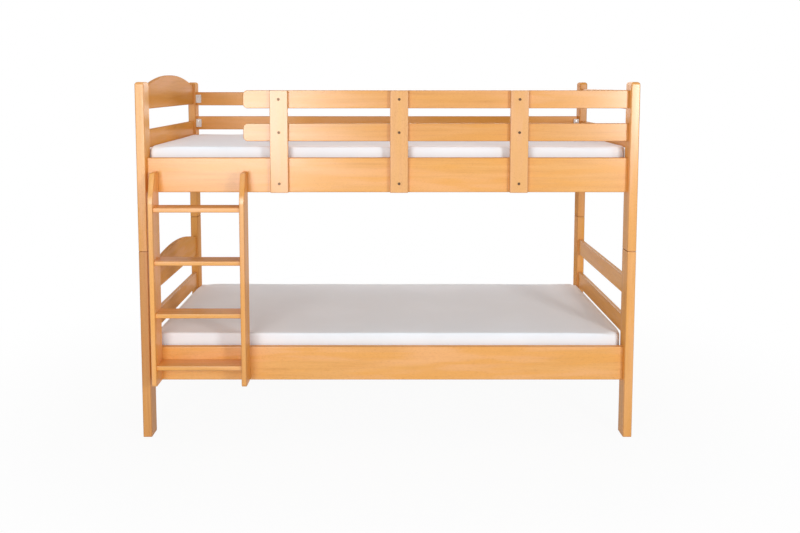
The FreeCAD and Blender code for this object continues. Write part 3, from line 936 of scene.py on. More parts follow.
def straight_board(node: str, grain: Axis, edge_round: float, segments: int = 4,
                   limits: Optional[tuple[float, float]] = None, butt_round: float = 0.0) -> Piece:
    """A straight board with rounded long edges.

    Args:
        node: the node that it stands for.
        grain: the axis of its length.
        edge_round: the round of its long edges.
        segments: how many faces that round has.
        limits: where it starts and ends between its shoulders, if not with its node.
        butt_round: the round at its two ends.

    Returns:
        The piece.
    """
    span = Span.of(node)
    if limits:
        span = span.limited(grain, *limits)
    piece = Bench.block(f"{node}_wood", span)
    Bench.round_edges(piece, along(grain), edge_round, segments)
    if butt_round:
        Bench.round_edges(piece, at_ends(grain, span), butt_round, 2)
    return piece


def inner_x() -> tuple[float, float]:
    """The X of the inner faces of the posts at the head and at the foot."""
    return Span.of("lower_post_front_left").high.x, Span.of("lower_post_front_right").low.x


def inner_y() -> tuple[float, float]:
    """The Y of the inner faces of the front and the back posts."""
    return Span.of("lower_post_front_left").high.y, Span.of("lower_post_back_left").low.y


# Fasteners

@dataclass(frozen=True)
class Fastener:
    """A screw or bolt with a flat round head and a socket for a key."""

    head_radius: float
    head_height: float
    shank_radius: float
    shank_length: float
    socket_width: float
    socket_depth: float
    rim: float = 0.7 * MM

    def make(self, seat: Vector, into: Vector) -> Piece:
        """One fastener.

        Args:
            seat: the point under its head.
            into: the direction of its shank.

        Returns:
            The piece.
        """
        top = seat - into * self.head_height
        head = Bench.bar("head", seat, top, self.head_radius, 48)
        axis = Axis(max(range(3), key=lambda index: abs(into[index])))
        Bench.round_edges(head, on_plane(axis, top[axis.value]), self.rim, 3)
        depth = into * self.socket_depth
        Bench.cut(head, [Bench.bar("key", top - depth, top + depth, self.socket_width / math.sqrt(3), 6)])
        shank = Bench.bar("shank", seat, seat + into * self.shank_length, self.shank_radius, 24)
        piece = Bench.join([head, shank], "fastener")
        Bench.smooth(piece)
        return piece


BED_BOLT = Fastener(8.0 * MM, 4.0 * MM, 4.0 * MM, 78.0 * MM, 6.0 * MM, 3.0 * MM)
GUARD_SCREW = Fastener(5.6 * MM, 2.5 * MM, 3.0 * MM, 36.0 * MM, 4.0 * MM, 1.9 * MM)
BLOCK_SCREW = Fastener(3.5 * MM, 2.0 * MM, 1.75 * MM, 24.0 * MM, 2.5 * MM, 1.3 * MM, 0.5 * MM)


# Sub-assemblies

@dataclass
class BedFrame:
    """The posts, end boards, side rails and ledges of one bed."""

    level: Level
    post_round: float = 5.0 * MM
    post_top_round: float = 11.5 * MM
    top_steps: int = 6
    joint_round: float = 1.0 * MM
    joint_rim: float = 6.0 * MM
    joint_line: float = 1.1 * MM
    rail_round: float = 4.0 * MM
    board_round: float = 3.2 * MM
    butt_round: float = 1.6 * MM
    ledge_round: float = 1.6 * MM
    arch_end_flat: float = 12.0 * MM
    arch_end_height: float = 95.5 * MM
    arch_steps: int = 48
    bolt_recess: float = 1.5 * MM
    bolt_play: float = 0.6 * MM
    nut_radius: float = 7.0 * MM
    nut_length: float = 18.0 * MM
    nut_distance: float = 35.0 * MM
    nut_play: float = 0.2 * MM
    nut_rim: float = 0.6 * MM

    @property
    def body(self) -> str:
        """The body that the frame rides on."""
        return f"{self.level.value}_frame"

    def bolt_line(self, end: End, row: Row) -> tuple[Vector, Vector]:
        """The point under a bed bolt's head, and its direction.

        Args:
            end: the bolt's end of the bed.
            row: its row.

        Returns:
            The seat and the direction.
        """
        rail = Span.of(f"{self.level.value}_{row.value}_rail").centre
        post = Span.of(f"{self.level.value}_post_{row.value}_{end.value}")
        face = post.high.x if end is End.FOOT else post.low.x
        seat_x = face - end.outward * (self.bolt_recess + BED_BOLT.head_height)
        return Vector((seat_x, rail.y, rail.z)), Vector((-end.outward, 0, 0))

    def nut_middle(self, end: End, row: Row) -> Vector:
        """The middle of a barrel nut."""
        seat, face = self.bolt_line(end, row)[0], inner_x()[1 if end is End.FOOT else 0]
        return Vector((face - end.outward * self.nut_distance, seat.y, seat.z))

    def post(self, end: End, row: Row) -> None:
        """One post: rounded edges, a bolt hole, and a domed top on the upper bed.

        Args:
            end: its end of the bed.
            row: its row.
        """
        node = f"{self.level.value}_post_{row.value}_{end.value}"
        span = Span.of(node)
        domed = self.level is Level.UPPER
        shaft = span.limited(Axis.Z, span.low.z + (self.joint_line if domed else 0),
                             span.high.z - (self.post_top_round if domed else self.joint_line))
        piece = Bench.block(f"{node}_wood", shaft)
        Bench.round_edges(piece, along(Axis.Z), self.post_round, 5)
        if domed:
            self.dome(piece, shaft)
        joint = shaft.low.z if domed else shaft.high.z
        Bench.round_edges(piece, on_plane(Axis.Z, joint), self.joint_round, 2)
        self.meeting_face(piece, joint, -1 if domed else 1)
        seat, into = self.bolt_line(end, row)
        outside = seat - into * (BED_BOLT.head_height + self.bolt_recess + self.bolt_play)
        Bench.cut(piece, [Bench.bar("hole", seat, outside, BED_BOLT.head_radius + self.bolt_play)])
        dress_wood(piece, self.body, node, Axis.Z)

    def meeting_face(self, piece: Piece, joint: float, side: float) -> None:
        """Raises the middle of a post's end, so that a fine line stays open round the joint.

        Args:
            piece: the post.
            joint: the height of its end.
            side: 1 for an upper end, -1 for a lower one.
        """
        Bench.edit(piece, Part.FACE, lambda face: abs(face.calc_center_median().z - joint) < Bench.SAME_PLACE)
        bpy.ops.mesh.inset(thickness=self.joint_rim)
        Bench.draw_out(0, 0, side * self.joint_line)
        Bench.clear()

    def dome(self, piece: Piece, shaft: Span) -> None:
        """Rounds the top of a post by drawing its top face up and in.

        Args:
            piece: the post.
            shaft: its straight part.
        """
        top = shaft.high.z
        Bench.edit(piece, Part.FACE, lambda face: abs(face.calc_center_median().z - top) < Bench.SAME_PLACE)
        height, inset = 0.0, 0.0
        for step in range(1, self.top_steps + 1):
            turn = math.pi / 2 * step / self.top_steps
            new_height = self.post_top_round * math.sin(turn)
            new_inset = self.post_top_round * (1 - math.cos(turn))
            factors = [(size - 2 * new_inset) / (size - 2 * inset) for size in shaft.size[:2]]
            Bench.draw_out(0, 0, new_height - height)
            bpy.ops.transform.resize(value=(*factors, 1.0), center_override=(shaft.centre.x, shaft.centre.y, top))
            height, inset = new_height, new_inset
        Bench.clear()

    def rail(self, row: Row) -> None:
        """One side rail with the pockets of its barrel nuts, and the ledge inside it.

        Args:
            row: its row.
        """
        node = f"{self.level.value}_{row.value}_rail"
        span = Span.of(node)
        piece = straight_board(node, Axis.X, self.rail_round, limits=inner_x(), butt_round=self.butt_round)
        inner = span.high.y if row is Row.FRONT else span.low.y
        holes = []
        for end in End:
            middle = self.nut_middle(end, row)
            bottom = middle + Vector((0, row.outward * self.nut_length / 2, 0))
            mouth = Vector((middle.x, inner - row.outward * self.bolt_play, middle.z))
            holes.append(Bench.bar("hole", bottom, mouth, self.nut_radius + self.nut_play, 32))
        Bench.cut(piece, holes)
        dress_wood(piece, self.body, node, Axis.X)
        node = f"{self.level.value}_{row.value}_ledge"
        dress_wood(straight_board(node, Axis.X, self.ledge_round, 3), self.body, node, Axis.X, RAW_BEECH)

    def arch_board(self) -> None:
        """The head board: its outline is spun, filled, drawn out to its thickness and rounded."""
        node = f"{self.level.value}_head_arch_board"
        low, high = inner_y()
        span = Span.of(node).limited(Axis.Y, low, high)
        shoulder = span.low.z + self.arch_end_height
        half_chord = span.size.y / 2 - self.arch_end_flat
        rise = span.high.z - shoulder
        radius = (half_chord ** 2 + rise ** 2) / (2 * rise)
        Bench.clear()
        bpy.ops.mesh.primitive_plane_add(size=1.0)
        piece = bpy.context.object
        bpy.ops.object.mode_set(mode="EDIT")
        bpy.ops.mesh.select_mode(type="VERT")
        bpy.ops.mesh.select_all(action="SELECT")
        bpy.ops.mesh.merge(type="CENTER")
        bpy.ops.transform.translate(value=(span.low.x, low + self.arch_end_flat, shoulder))
        bpy.ops.mesh.spin(steps=self.arch_steps, angle=2 * math.asin(half_chord / radius), axis=(1, 0, 0),
                          center=(span.low.x, span.centre.y, span.high.z - radius))
        for corner in ((high, shoulder), (high, span.low.z), (low, span.low.z), (low, shoulder)):
            self.extrude_to(piece, Vector((span.low.x, *corner)))
        bpy.ops.mesh.select_all(action="SELECT")
        bpy.ops.mesh.edge_face_add()
        Bench.draw_out(span.size.x, 0, 0)
        bpy.ops.mesh.select_all(action="SELECT")
        bpy.ops.mesh.normals_make_consistent(inside=False)
        Bench.settle(piece, f"{node}_wood")
        long_rims = every(at_ends(Axis.X, span), other_than(along(Axis.Z)))
        Bench.round_edges(piece, long_rims, self.board_round)
        dress_wood(piece, self.body, node, Axis.Y)

    @staticmethod
    def extrude_to(piece: Piece, place: Vector) -> None:
        """Draws the selected end of an outline out to a place.

        Args:
            piece: the piece in edit mode.
            place: where the new point goes.
        """
        mesh = bmesh.from_edit_mesh(piece.data)
        start = next(vertex.co.copy() for vertex in mesh.verts if vertex.select)
        bpy.ops.mesh.extrude_vertices_move(TRANSFORM_OT_translate={"value": tuple(place - start)})

    def hardware(self) -> None:
        """The bed bolts and barrel nuts."""
        bolts, nuts = [], []
        for end, row in CORNERS:
            bolts.append(BED_BOLT.make(*self.bolt_line(end, row)))
            middle, half = self.nut_middle(end, row), Vector((0, self.nut_length / 2, 0))
            nut = Bench.bar("nut", middle - half, middle + half, self.nut_radius, 32)
            Bench.round_edges(nut, at_ends(Axis.Y, Span(middle - half, middle + half)), self.nut_rim, 2)
            Bench.smooth(nut)
            nuts.append(nut)
        dress_set(bolts, "steel", self.body, f"{self.level.value}_bed_bolts", ZINC)
        dress_set(nuts, "steel", self.body, f"{self.level.value}_barrel_nuts", ZINC)

    def build(self) -> None:
        """Builds and dresses the whole frame."""
        for end, row in CORNERS:
            self.post(end, row)
        for row in Row:
            self.rail(row)
        for board in ("head_cross_rail", "head_slat", "foot_cross_rail", "foot_lower_slat", "foot_upper_slat"):
            node = f"{self.level.value}_{board}"
            piece = straight_board(node, Axis.Y, self.board_round, limits=inner_y(), butt_round=self.butt_round)
            dress_wood(piece, self.body, node, Axis.Y)
        self.arch_board()
        self.hardware()


@dataclass
class StackingPins:
    """The steel pins between the posts of the two beds."""

    radius: float = 6.0 * MM
    tip: float = 2.0 * MM

    def build(self) -> None:
        """Builds and dresses the four pins."""
        space = Span.of("stacking_pins")
        pins = []
        for end, row in CORNERS:
            post = Span.of(f"lower_post_{row.value}_{end.value}").centre
            low, high = (Vector((post.x, post.y, limit.z)) for limit in (space.low, space.high))
            pin = Bench.bar("pin", low, high, self.radius, 32)
            Bench.round_edges(pin, on_plane(Axis.Z, high.z), self.tip)
            Bench.smooth(pin)
            pins.append(pin)
        dress_set(pins, "steel", "lower_frame", "stacking_pins", ZINC)


@dataclass
class GuardRail:
    """The boards, uprights, screws and corner blocks round the upper mattress."""

    body: str = "upper_frame"
    end_round: float = 20.0 * MM
    edge_round: float = 2.6 * MM
    upright_corner: float = 8.0 * MM
    screw_height: float = 38.0 * MM
    block_size: Triple = (24.0 * MM, 18.0 * MM, 42.0 * MM)
    block_round: float = 2.5 * MM
    block_rim: float = 3.5 * MM
    block_recess: float = 1.2 * MM
    block_screw_rise: float = 10.0 * MM

    def front_board(self, node: str) -> None:
        """One front board with its rounded free end.

        Args:
            node: the node that it stands for.
        """
        span = Span.of(node)
        piece = Bench.block(f"{node}_wood", span)
        Bench.round_edges(piece, every(along(Axis.Y), on_plane(Axis.X, span.low.x)), self.end_round, 10)
        free_rims = every(at_ends(Axis.Y, span), other_than(on_plane(Axis.X, span.high.x)))
        Bench.round_edges(piece, free_rims, self.edge_round)
        dress_wood(piece, self.body, node, Axis.X)

    def upright(self, node: str) -> None:
        """One upright with rounded upper corners.

        Args:
            node: the node that it stands for.
        """
        span = Span.of(node)
        piece = Bench.block(f"{node}_wood", span)
        for limit, radius, segments in ((span.high.z, self.upright_corner, 6), (span.low.z, self.edge_round, 3)):
            Bench.round_edges(piece, every(along(Axis.Y), on_plane(Axis.Z, limit)), radius, segments)
        Bench.round_edges(piece, at_ends(Axis.Y, span), self.edge_round)
        dress_wood(piece, self.body, node, Axis.Z)

    def screws(self) -> None:
        """The screws of the uprights, one in the rail and one in each board."""
        heights = [Span.of("upper_front_rail").low.z + self.screw_height,
                   Span.of("guard_bottom_board").centre.z, Span.of("guard_top_board").centre.z]
        screws = []
        for side in ("left", "middle", "right"):
            span = Span.of(f"guard_upright_{side}")
            for height in heights:
                screws.append(GUARD_SCREW.make(Vector((span.centre.x, span.low.y, height)), Axis.Y.vector))
        dress_set(screws, "steel", self.body, "guard_screws", BRONZED)

    def block_spans(self) -> list[tuple[Span, End, Row]]:
        """Where the corner blocks go.

        Returns:
            The space of each block, with its end and row.
        """
        found = []
        length, depth, height = self.block_size
        for row, ends in ((Row.FRONT, [End.FOOT]), (Row.BACK, list(End))):
            for level in ("bottom", "top"):
                board = Span.of(f"{'back_' if row is Row.BACK else ''}guard_{level}_board")
                for end in ends:
                    x = inner_x()[1 if end is End.FOOT else 0]
                    y = board.high.y if row is Row.FRONT else board.low.y
                    corner = Vector((x - end.outward * length, y - row.outward * depth, board.centre.z - height / 2))
                    other = Vector((x, y, board.centre.z + height / 2))
                    span = Span(Vector(map(min, corner, other)), Vector(map(max, corner, other)))
                    found.append((span, end, row))
        return found

    def block(self, span: Span, into_board: Vector, into_post: Vector) -> Piece:
        """One corner block, rounded, with its two open faces recessed.

        Args:
            span: its space.
            into_board: the direction of the board that it is screwed to.
            into_post: the direction of the post that it is screwed to.

        Returns:
            The piece.
        """
        piece = Bench.block("block", span)
        post_face = span.high.x if into_post.x > 0 else span.low.x
        board_face = span.high.y if into_board.y > 0 else span.low.y
        mounted = either(on_plane(Axis.X, post_face), on_plane(Axis.Y, board_face))
        Bench.round_edges(piece, other_than(mounted), self.block_round)
        Bench.edit(piece, Part.FACE, lambda face: min(into_board.dot(face.normal),
                                                      into_post.dot(face.normal)) < -Bench.ALIGNED)
        bpy.ops.mesh.inset(thickness=self.block_rim - self.block_round, depth=0.0, use_individual=True)
        bpy.ops.mesh.inset(thickness=self.block_recess / 2, depth=-self.block_recess, use_individual=True)
        Bench.clear()
        Bench.smooth(piece)
        return piece

    def blocks(self) -> None:
        """The plastic corner blocks and their screws."""
        blocks, screws = [], []
        for span, end, row in self.block_spans():
            into_board, into_post = Vector((0, row.outward, 0)), Vector((end.outward, 0, 0))
            blocks.append(self.block(span, into_board, into_post))
            board_seat = Vector((span.centre.x, span.high.y if row is Row.FRONT else span.low.y,
                                 span.centre.z + self.block_screw_rise))
            post_seat = Vector((span.low.x if end is End.FOOT else span.high.x, span.centre.y,
                                span.centre.z - self.block_screw_rise))
            for seat, into in ((board_seat, into_board), (post_seat, into_post)):
                screws.append(BLOCK_SCREW.make(seat + into * self.block_recess, into))
        dress_set(blocks, "plastic", self.body, "corner_blocks", PLASTIC)
        dress_set(screws, "steel", self.body, "corner_block_screws", ZINC)

    def build(self) -> None:
        """Builds and dresses the guard rail."""
        for level in ("bottom", "top"):
            self.front_board(f"guard_{level}_board")
            node = f"back_guard_{level}_board"
            dress_wood(straight_board(node, Axis.X, self.edge_round), self.body, node, Axis.X)
        for side in ("left", "middle", "right"):
            self.upright(f"guard_upright_{side}")
        self.screws()
        self.blocks()


@dataclass
class Ladder:
    """The stiles, treads and fixings of the ladder."""

    body: str = "upper_frame"
    head_depth: float = 60.0 * MM
    taper_height: float = 105.0 * MM
    knee_radius: float = 110.0 * MM
    nose_radius: float = 12.0 * MM
    toe_radius: float = 14.0 * MM
    heel_radius: float = 3.0 * MM
    edge_round: float = 3.0 * MM
    tread_round: float = 4.5 * MM
    screw_height: float = 16.0 * MM
    tread_count: int = 4
    corner_reach: float = 0.2 * MM

    def stile(self, side: str) -> None:
        """One stile, cut to a taper at its head with each corner rounded.

        Args:
            side: the side of the ladder that it stands on.
        """
        node = f"ladder_stile_{side}"
        span = Span.of(node)
        piece = Bench.block(f"{node}_wood", span)
        knee = Vector((span.centre.x, span.low.y, span.high.z - self.taper_height))
        head = Vector((span.centre.x, span.high.y - self.head_depth, span.high.z))
        slope = head - knee
        normal = Vector((0, -slope.z, slope.y)).normalized()
        Bench.take(piece)
        bpy.ops.object.mode_set(mode="EDIT")
        bpy.ops.mesh.select_all(action="SELECT")
        bpy.ops.mesh.bisect(plane_co=knee, plane_no=normal, use_fill=True, clear_outer=True, clear_inner=False)
        Bench.clear()
        turn, square = math.atan2(slope.y, slope.z), math.pi / 2
        low, high = span.low, span.high
        for y, z, radius, angle, segments in (
                (knee.y, knee.z, self.knee_radius, turn, 8), (head.y, head.z, self.nose_radius, square - turn, 8),
                (low.y, low.z, self.toe_radius, square, 8), (high.y, low.z, self.heel_radius, square, 3),
                (high.y, high.z, self.heel_radius, square, 3)):
            corner = every(along(Axis.X), on_plane(Axis.Y, y, self.corner_reach),
                           on_plane(Axis.Z, z, self.corner_reach))
            Bench.round_edges(piece, corner, radius * math.tan(angle / 2), segments)
        Bench.round_edges(piece, at_ends(Axis.X, span), self.edge_round)
        dress_wood(piece, self.body, node, Axis.Z)

    def fixings(self) -> None:
        """The screws through the rail into the stiles; the dowels keep their shape."""
        rail = Span.of("upper_front_rail")
        screws = []
        for side in ("left", "right"):
            centre = Span.of(f"ladder_stile_{side}").centre
            seat = Vector((centre.x, rail.high.y, rail.low.z + self.screw_height))
            screws.append(GUARD_SCREW.make(seat, -Axis.Y.vector))
        dress_set(screws, "steel", self.body, "ladder_screws", BRONZED)
        wood = RAW_BEECH.material("ladder_dowels", Span.of("ladder_dowels"), Axis.Y)
        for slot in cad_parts["ladder_dowels"].material_slots:
            slot.material = wood

    def build(self) -> None:
        """Builds and dresses the ladder."""
        for side in ("left", "right"):
            self.stile(side)
        limits = Span.of("ladder_stile_left").high.x, Span.of("ladder_stile_right").low.x
        for index in range(1, self.tread_count + 1):
            node = f"ladder_tread_{index}"
            piece = straight_board(node, Axis.X, self.tread_round, 5, limits)
            dress_wood(piece, self.body, node, Axis.X)
        self.fixings()


@dataclass
class SlattedBase:
    """The loose slats and tapes that carry one mattress."""

    level: Level
    slat_count: int = 15
    slat_width: float = 70.0 * MM
    edge_round: float = 2.2 * MM
    end_round: float = 0.8 * MM
    tape_width: float = 25.0 * MM
    tape_sag: float = 1.2 * MM
    tape_edge: float = 0.2 * MM
    tape_steps: int = 8

    def build(self) -> None:
        """Builds and dresses the slats and the tapes."""
        node = f"{self.level.value}_base_slats"
        body = f"{self.level.value}_base"
        span = Span.of(node)
        first = span.limited(Axis.X, span.low.x, span.low.x + self.slat_width)
        slat = Bench.block("slat", first)
        Bench.round_edges(slat, along(Axis.Y), self.edge_round, 3)
        Bench.round_edges(slat, at_ends(Axis.Y, span), self.end_round, 2)
        Bench.smooth(slat)
        pitch = (span.size.x - self.slat_width) / (self.slat_count - 1)
        copies = [Bench.copy(slat, Vector((pitch * index, 0, 0))) for index in range(1, self.slat_count)]
        piece = Bench.join([slat, *copies], f"{node}_wood")
        dress(piece, body, SLAT_WOOD.slot, SLAT_WOOD.material(node, first, Axis.Y), node)
        self.tapes(body, pitch)

    def tapes(self, body: str, pitch: float) -> None:
        """The two tapes under the slats, a little slack between one slat and the next.

        Args:
            body: the body that they ride on.
            pitch: the distance from one slat to the next.
        """
        node = f"{self.level.value}_base_tapes"
        span = Span.of(node)
        tape = Bench.block("tape", span.limited(Axis.Y, span.low.y, span.low.y + self.tape_width))
        Bench.edit(tape, Part.EDGE, lambda edge: along(Axis.X)(edge.verts[0].co, edge.verts[1].co))
        bpy.ops.mesh.subdivide(number_cuts=self.slat_count * self.tape_steps - 1)
        Bench.clear()
        for vertex in tape.data.vertices:
            share = ((vertex.co.x - span.low.x) % pitch - self.slat_width) / (pitch - self.slat_width)
            if 0 < share < 1:
                vertex.co.z -= self.tape_sag * math.sin(math.pi * share) ** 2
        Bench.round_edges(tape, along(Axis.Y), self.tape_edge, 1)
        Bench.smooth(tape)
        twin = Bench.copy(tape, Vector((0, span.size.y - self.tape_width, 0)))
        dress_set([tape, twin], "cloth", body, node, WEBBING)


@dataclass
class Mattress:
    """A foam mattress in a white cotton cover."""

    level: Level
    inset: float = 0.5 * MM
    corner_round: float = 22.0 * MM
    give: float = 12.4 * MM
    give_length: float = 64.0 * MM
    give_run: float = 38.0 * MM
    give_depth: float = 60.0 * MM
    edge_round: float = 9.0 * MM
    corner_drop: float = 13.0 * MM
    drop_reach: float = 50.0 * MM
    head_reach: float = 0.0
    foot_reach: float = 6.0 * MM
    rise: float = 0.0
    least_cell: float = 3.4 * MM
    most_cell: float = 26.0 * MM
    cell_growth: float = 1.28
    pressure: float = 4.0
    bending: float = 2.0
    frames: int = 20
    most_swell: float = 3.0 * MM
    crown: float = 1.5 * MM
    dent: float = 1.1 * MM
    dent_scales: tuple[float, float] = (3.2, 9.0)
    fold: float = 3.0 * MM
    fold_reach: float = 260.0 * MM
    fold_start: float = 60.0 * MM
    fold_waves: float = 7.0
    fold_shift: float = 1.7
    upper_shift: float = 2.0
    dent_seeds: tuple[float, float] = (1.0, 7.0)
    end_depth: float = 300.0 * MM
    post_reach: float = 25.0 * MM
    post_dent: float = 6.0 * MM

    @property
    def node(self) -> str:
        """The node that the mattress stands for."""
        return f"{self.level.value}_mattress"

    def cut_places(self, low: float, high: float) -> list[float]:
        """Where a length is cut into cells, which are finer towards its ends.

        Args:
            low: the start of the length.
            high: its end.

        Returns:
            The places between its ends.
        """
        middle = (low + high) / 2
        found, place, cell = [], low, self.least_cell
        while place + cell < middle - cell / 2:
            place += cell
            found.append(place)
            cell = min(cell * self.cell_growth, self.most_cell)
        return found + [middle] + [low + high - place for place in reversed(found)]

    def cover(self, span: Span) -> Piece:
        """The cover over its foam: cut into cells, rounded, swollen and settled.

        Args:
            span: the space of the mattress.

        Returns:
            The piece.
        """
        inset = Vector((self.inset, self.inset, 0))
        core = Span(span.low + inset, span.high - inset - Vector((0, 0, self.crown)))
        piece = Bench.block(f"{self.node}_cover", core)
        Bench.take(piece)
        bpy.ops.object.mode_set(mode="EDIT")
        for axis in Axis:
            for place in self.cut_places(core.low[axis.value], core.high[axis.value]):
                bpy.ops.mesh.select_all(action="SELECT")
                bpy.ops.mesh.bisect(plane_co=axis.vector * place, plane_no=axis.vector)
        Bench.clear()
        for vertex in piece.data.vertices:
            vertex.co = core.centre + self.rounded(vertex.co - core.centre, core.size / 2)
        self.swell(piece)
        self.settle_on_slats(piece, span)
        finer = piece.modifiers.new("Finer", "SUBSURF")
        finer.levels = finer.render_levels = 1
        Bench.apply(piece, finer)
        return piece

    def rounded(self, place: Vector, half: Vector) -> Vector:
        """Moves a point of a block onto the block with rounded corners and edges.

        Args:
            place: the point, from the block's middle.
            half: half of the block's three lengths.

        Returns:
            The point on the rounded block.
        """
        side, row = math.copysign(1, place.x), math.copysign(1, place.y)
        radius = self.corner_round
        centre = Vector((side * (half.x - radius), row * (half.y - radius)))
        out = Vector(((place.x - centre.x) * side, (place.y - centre.y) * row))
        if min(out) > 0:
            out *= max(out) / out.length
            depth, outward = radius - out.length, out.normalized()
        else:
            depth = radius - max(out)
            outward = Vector((1, 0)) if out.x > out.y else Vector((0, 1))
        corner = Vector((half.x - abs(place.x), half.y - abs(place.y))).length
        edge_round = self.edge_round + self.corner_drop * math.exp(-(corner / self.drop_reach) ** 2)
        inner = edge_round - depth
        above = abs(place.z) - (half.z - edge_round)
        height = place.z
        if min(inner, above) > 0:
            share = max(inner, above) / math.hypot(inner, above)
            out -= outward * inner * (1 - share)
            height = math.copysign(1, place.z) * (half.z - edge_round + above * share)
        return Vector((centre.x + out.x * side, centre.y + out.y * row, height))

    def swell(self, piece: Piece) -> None:
        """Blows the cover up a little, as foam fills it, and caps how far it moves.

        Args:
            piece: the cover.
        """
        start = [vertex.co.copy() for vertex in piece.data.vertices]
        cloth = piece.modifiers.new("Cloth", "CLOTH")
        cloth.settings.use_pressure = True
        cloth.settings.uniform_pressure_force = self.pressure
        cloth.settings.effector_weights.gravity = 0.0
        cloth.settings.bending_stiffness = self.bending
        cloth.point_cache.frame_start = 1
        cloth.point_cache.frame_end = self.frames
        for number in range(1, self.frames + 1):
            bpy.context.scene.frame_set(number)
        swollen = piece.evaluated_get(bpy.context.evaluated_depsgraph_get()).data
        moves = [after.co - before for after, before in zip(swollen.vertices, start)]
        piece.modifiers.remove(cloth)
        for vertex, before, move in zip(piece.data.vertices, start, moves):
            reach = min(move.length, self.most_swell)
            vertex.co = before + (move.normalized() * reach if move.length else move)
        bpy.context.scene.frame_set(1)

    def settle_on_slats(self, piece: Piece, span: Span) -> None:
        """Crowns the top, lays soft dents and corner folds in it and shapes its ends and sides.

        Args:
            piece: the cover.
            span: the space of the mattress.
        """
        half = span.size / 2
        seed = Vector((0, 0, self.dent_seeds[self.level is Level.UPPER]))
        broad, fine = self.dent_scales
        corners = [Vector((side * half.x, row * half.y)) for side in (-1, 1) for row in (-1, 1)]
        for vertex in piece.data.vertices:
            place = vertex.co - span.centre
            height = max((place.z + half.z) / span.size.z, 0)
            fullness = max(1 - (place.x / half.x) ** 6, 0) * max(1 - (place.y / half.y) ** 4, 0)
            vertex.co.z += height ** 3 * self.crown * fullness
            soft = noise.noise(place * broad + seed) + 0.4 * noise.noise(place * fine + seed)
            vertex.co.z += soft * self.dent * height ** 2
            for number, corner in enumerate(corners):
                vertex.co.z += self.corner_fold(place.xy - corner, number) * height ** 2
            for index in range(3):
                vertex.co[index] = min(max(vertex.co[index], span.low[index]), span.high[index])
            vertex.co.x += self.end_push(place, half)
            vertex.co.y += self.side_give(place, half)
            vertex.co.z += self.rise * height ** 3

    def end_push(self, place: Vector, half: Vector) -> float:
        """How far the soft ends reach out between the posts.

        Args:
            place: the point, from the mattress's middle.
            half: half of its three lengths.

        Returns:
            The move along X.
        """
        reach = -self.head_reach if place.x < 0 else self.foot_reach
        near_end = max(1 - (half.x - abs(place.x)) / self.end_depth, 0)
        between_posts = min(max((half.y - self.post_reach - abs(place.y)) / self.post_dent, 0), 1)
        return reach * near_end * between_posts

    def side_give(self, place: Vector, half: Vector) -> float:
        """How far a side draws in at a corner where the mattress passes the corner blocks.

        Args:
            place: the point, from the mattress's middle.
            half: half of its three lengths.

        Returns:
            The move along Y.
        """
        open_corner = place.x < 0 and place.y < 0
        if self.level is Level.LOWER or open_corner:
            return 0.0
        share = min(max((abs(place.x) - half.x + self.give_length) / self.give_run, 0), 1)
        near_side = max(1 - (half.y - abs(place.y)) / self.give_depth, 0)
        return -math.copysign(self.give * share * share * (3 - 2 * share) * near_side, place.y)

    def corner_fold(self, away: Vector, number: int) -> float:
        """The height of the folds that fan out from a corner where the cover is pulled.

        Args:
            away: the point, from the corner.
            number: which corner, which shifts its folds.

        Returns:
            The height in metres.
        """
        distance = away.length
        turn = math.atan2(abs(away.y), abs(away.x))
        shift = self.fold_shift * number + (self.upper_shift if self.level is Level.UPPER else 0.0)
        wave = math.sin(self.fold_waves * turn + shift)
        return self.fold * wave * math.exp(-(distance / self.fold_reach) ** 2) * min(distance / self.fold_start, 1.0)

    def build(self) -> None:
        """Builds and dresses the mattress."""
        span = Span.of(self.node)
        piece = self.cover(span)
        Bench.take(piece)
        bpy.ops.object.shade_smooth()
        dress(piece, self.node, COTTON.slot, COTTON.material(self.node), self.node)


@dataclass(frozen=True)
class Lamp:
    """One soft square lamp: where it stands, the length of its sides, its watts and its colour."""

    name: str
    place: Triple
    size: float
    power: float
    colour: Triple

    def build(self, target: Vector) -> None:
        """Sets the lamp up.

        Args:
            target: the point that it is turned to.
        """
        data = bpy.data.lights.new(self.name, "AREA")
        data.shape = "SQUARE"
        data.size = self.size
        data.energy = self.power
        data.color = self.colour
        lamp = bpy.data.objects.new(self.name, data)
        bpy.context.scene.collection.objects.link(lamp)
        lamp.location = self.place
        lamp.rotation_euler = (target - Vector(self.place)).to_track_quat("-Z", "Y").to_euler()


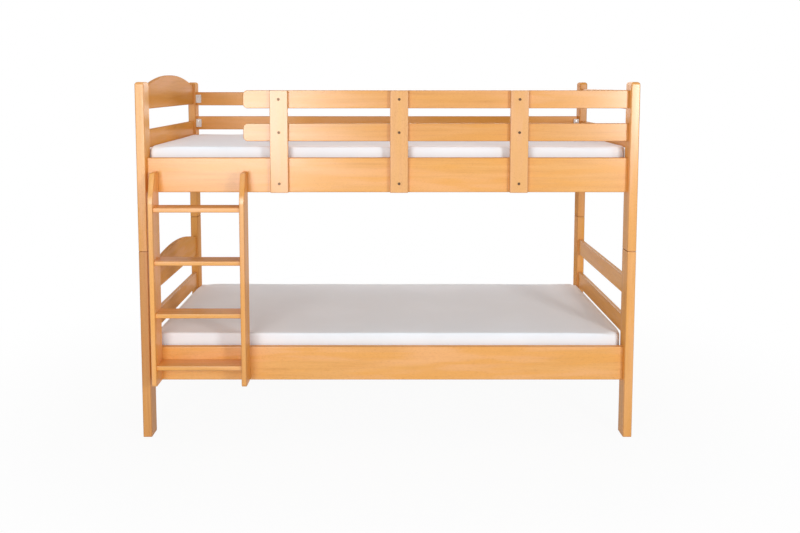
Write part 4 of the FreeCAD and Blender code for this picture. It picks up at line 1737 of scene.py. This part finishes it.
@dataclass
class Studio:
    """The pale floor, the soft lamps and the camera."""

    camera_place: Triple = (0.0037, -3.9475, 1.4968)
    camera_pitch: float = math.radians(5.0)
    focal_length: float = 37.99
    sensor_width: float = 36.0
    shift_x: float = 0.0146
    shift_y: float = -0.1356
    floor_size: float = 60.0
    floor_drop: float = 0.5 * MM
    shadow_share: float = 0.06
    soft_light: float = 0.34
    soft_colour: Colour = (0.95, 0.97, 1.0, 1.0)
    target: Triple = (0.0, 0.0, 0.8)
    lamps: tuple[Lamp, ...] = (
        Lamp("key", (-1.2, -3.8, 1.38), 1.3, 57.0, (0.93, 0.985, 1.0)),
        Lamp("fill", (2.35, -3.7, 1.45), 0.6, 55.0, (0.93, 0.985, 1.0)),
        Lamp("top", (0.0, 0.4, 4.4), 3.0, 45.0, (1.0, 0.94, 0.93)),
        Lamp("back", (0.5, 3.8, 2.1), 2.4, 54.0, (1.0, 0.98, 0.97)))

    def camera(self) -> None:
        """Sets the camera at the photograph's viewing angle."""
        data = bpy.data.cameras.new("camera")
        camera = bpy.data.objects.new("camera", data)
        bpy.context.scene.collection.objects.link(camera)
        camera.location = self.camera_place
        camera.rotation_euler = (math.pi / 2 - self.camera_pitch, 0, 0)
        data.lens = self.focal_length
        data.sensor_width = self.sensor_width
        data.shift_x = self.shift_x
        data.shift_y = self.shift_y
        bpy.context.scene.camera = camera

    def floor(self) -> None:
        """A pale floor that shows white and keeps the bed's soft shadow."""
        Bench.clear()
        bpy.ops.mesh.primitive_plane_add(size=self.floor_size, location=(0, 0, -self.floor_drop))
        floor = Bench.settle(bpy.context.object, "floor")
        shader = Shader("floor")
        place = shader.place()
        distance = shader.node("ShaderNodeVectorMath", {"operation": "LENGTH"}, {0: place}, "Value")
        tone = shader.mix(shader.noise(place, 3.0, 2.0) * 0.2, grey(0.80), grey(0.78))
        matt = shader.node("ShaderNodeBsdfDiffuse", {}, {"Color": tone})
        white = shader.node("ShaderNodeEmission", {}, {"Color": grey(1.0), "Strength": 1.0})
        share = shader.seen() * (1 - self.shadow_share + distance.between(1.1, 2.6) * self.shadow_share)
        surface = shader.node("ShaderNodeMixShader", {}, {0: share, 1: matt, 2: white})
        floor.data.materials.append(shader.close(surface))

    def world(self) -> None:
        """White where it is seen, and soft grey light elsewhere."""
        shader = Shader("studio", bpy.data.worlds.new("studio"))
        soft = shader.node("ShaderNodeBackground", {}, {"Color": self.soft_colour, "Strength": self.soft_light})
        white = shader.node("ShaderNodeBackground", {}, {"Color": grey(1.0), "Strength": 1.0})
        surface = shader.node("ShaderNodeMixShader", {}, {0: shader.seen(), 1: soft, 2: white})
        bpy.context.scene.world = shader.close(surface, "ShaderNodeOutputWorld")

    def build(self) -> None:
        """Sets up the floor, the world, the lamps and the camera."""
        self.floor()
        self.world()
        for lamp in self.lamps:
            lamp.build(Vector(self.target))
        self.camera()
        bpy.context.scene.view_settings.view_transform = "Standard"


def main() -> None:
    """Builds every sub-assembly in order."""
    logging.basicConfig(level=logging.INFO, format="%(name)s: %(message)s")
    for level in Level:
        BedFrame(level).build()
    StackingPins().build()
    GuardRail().build()
    Ladder().build()
    for level in Level:
        SlattedBase(level).build()
    Mattress(Level.LOWER).build()
    Mattress(Level.UPPER, corner_round=14.0 * MM, head_reach=11.4 * MM, foot_reach=11.4 * MM,
             rise=3.5 * MM).build()
    Studio().build()


if __name__ == "__main__":
    main()
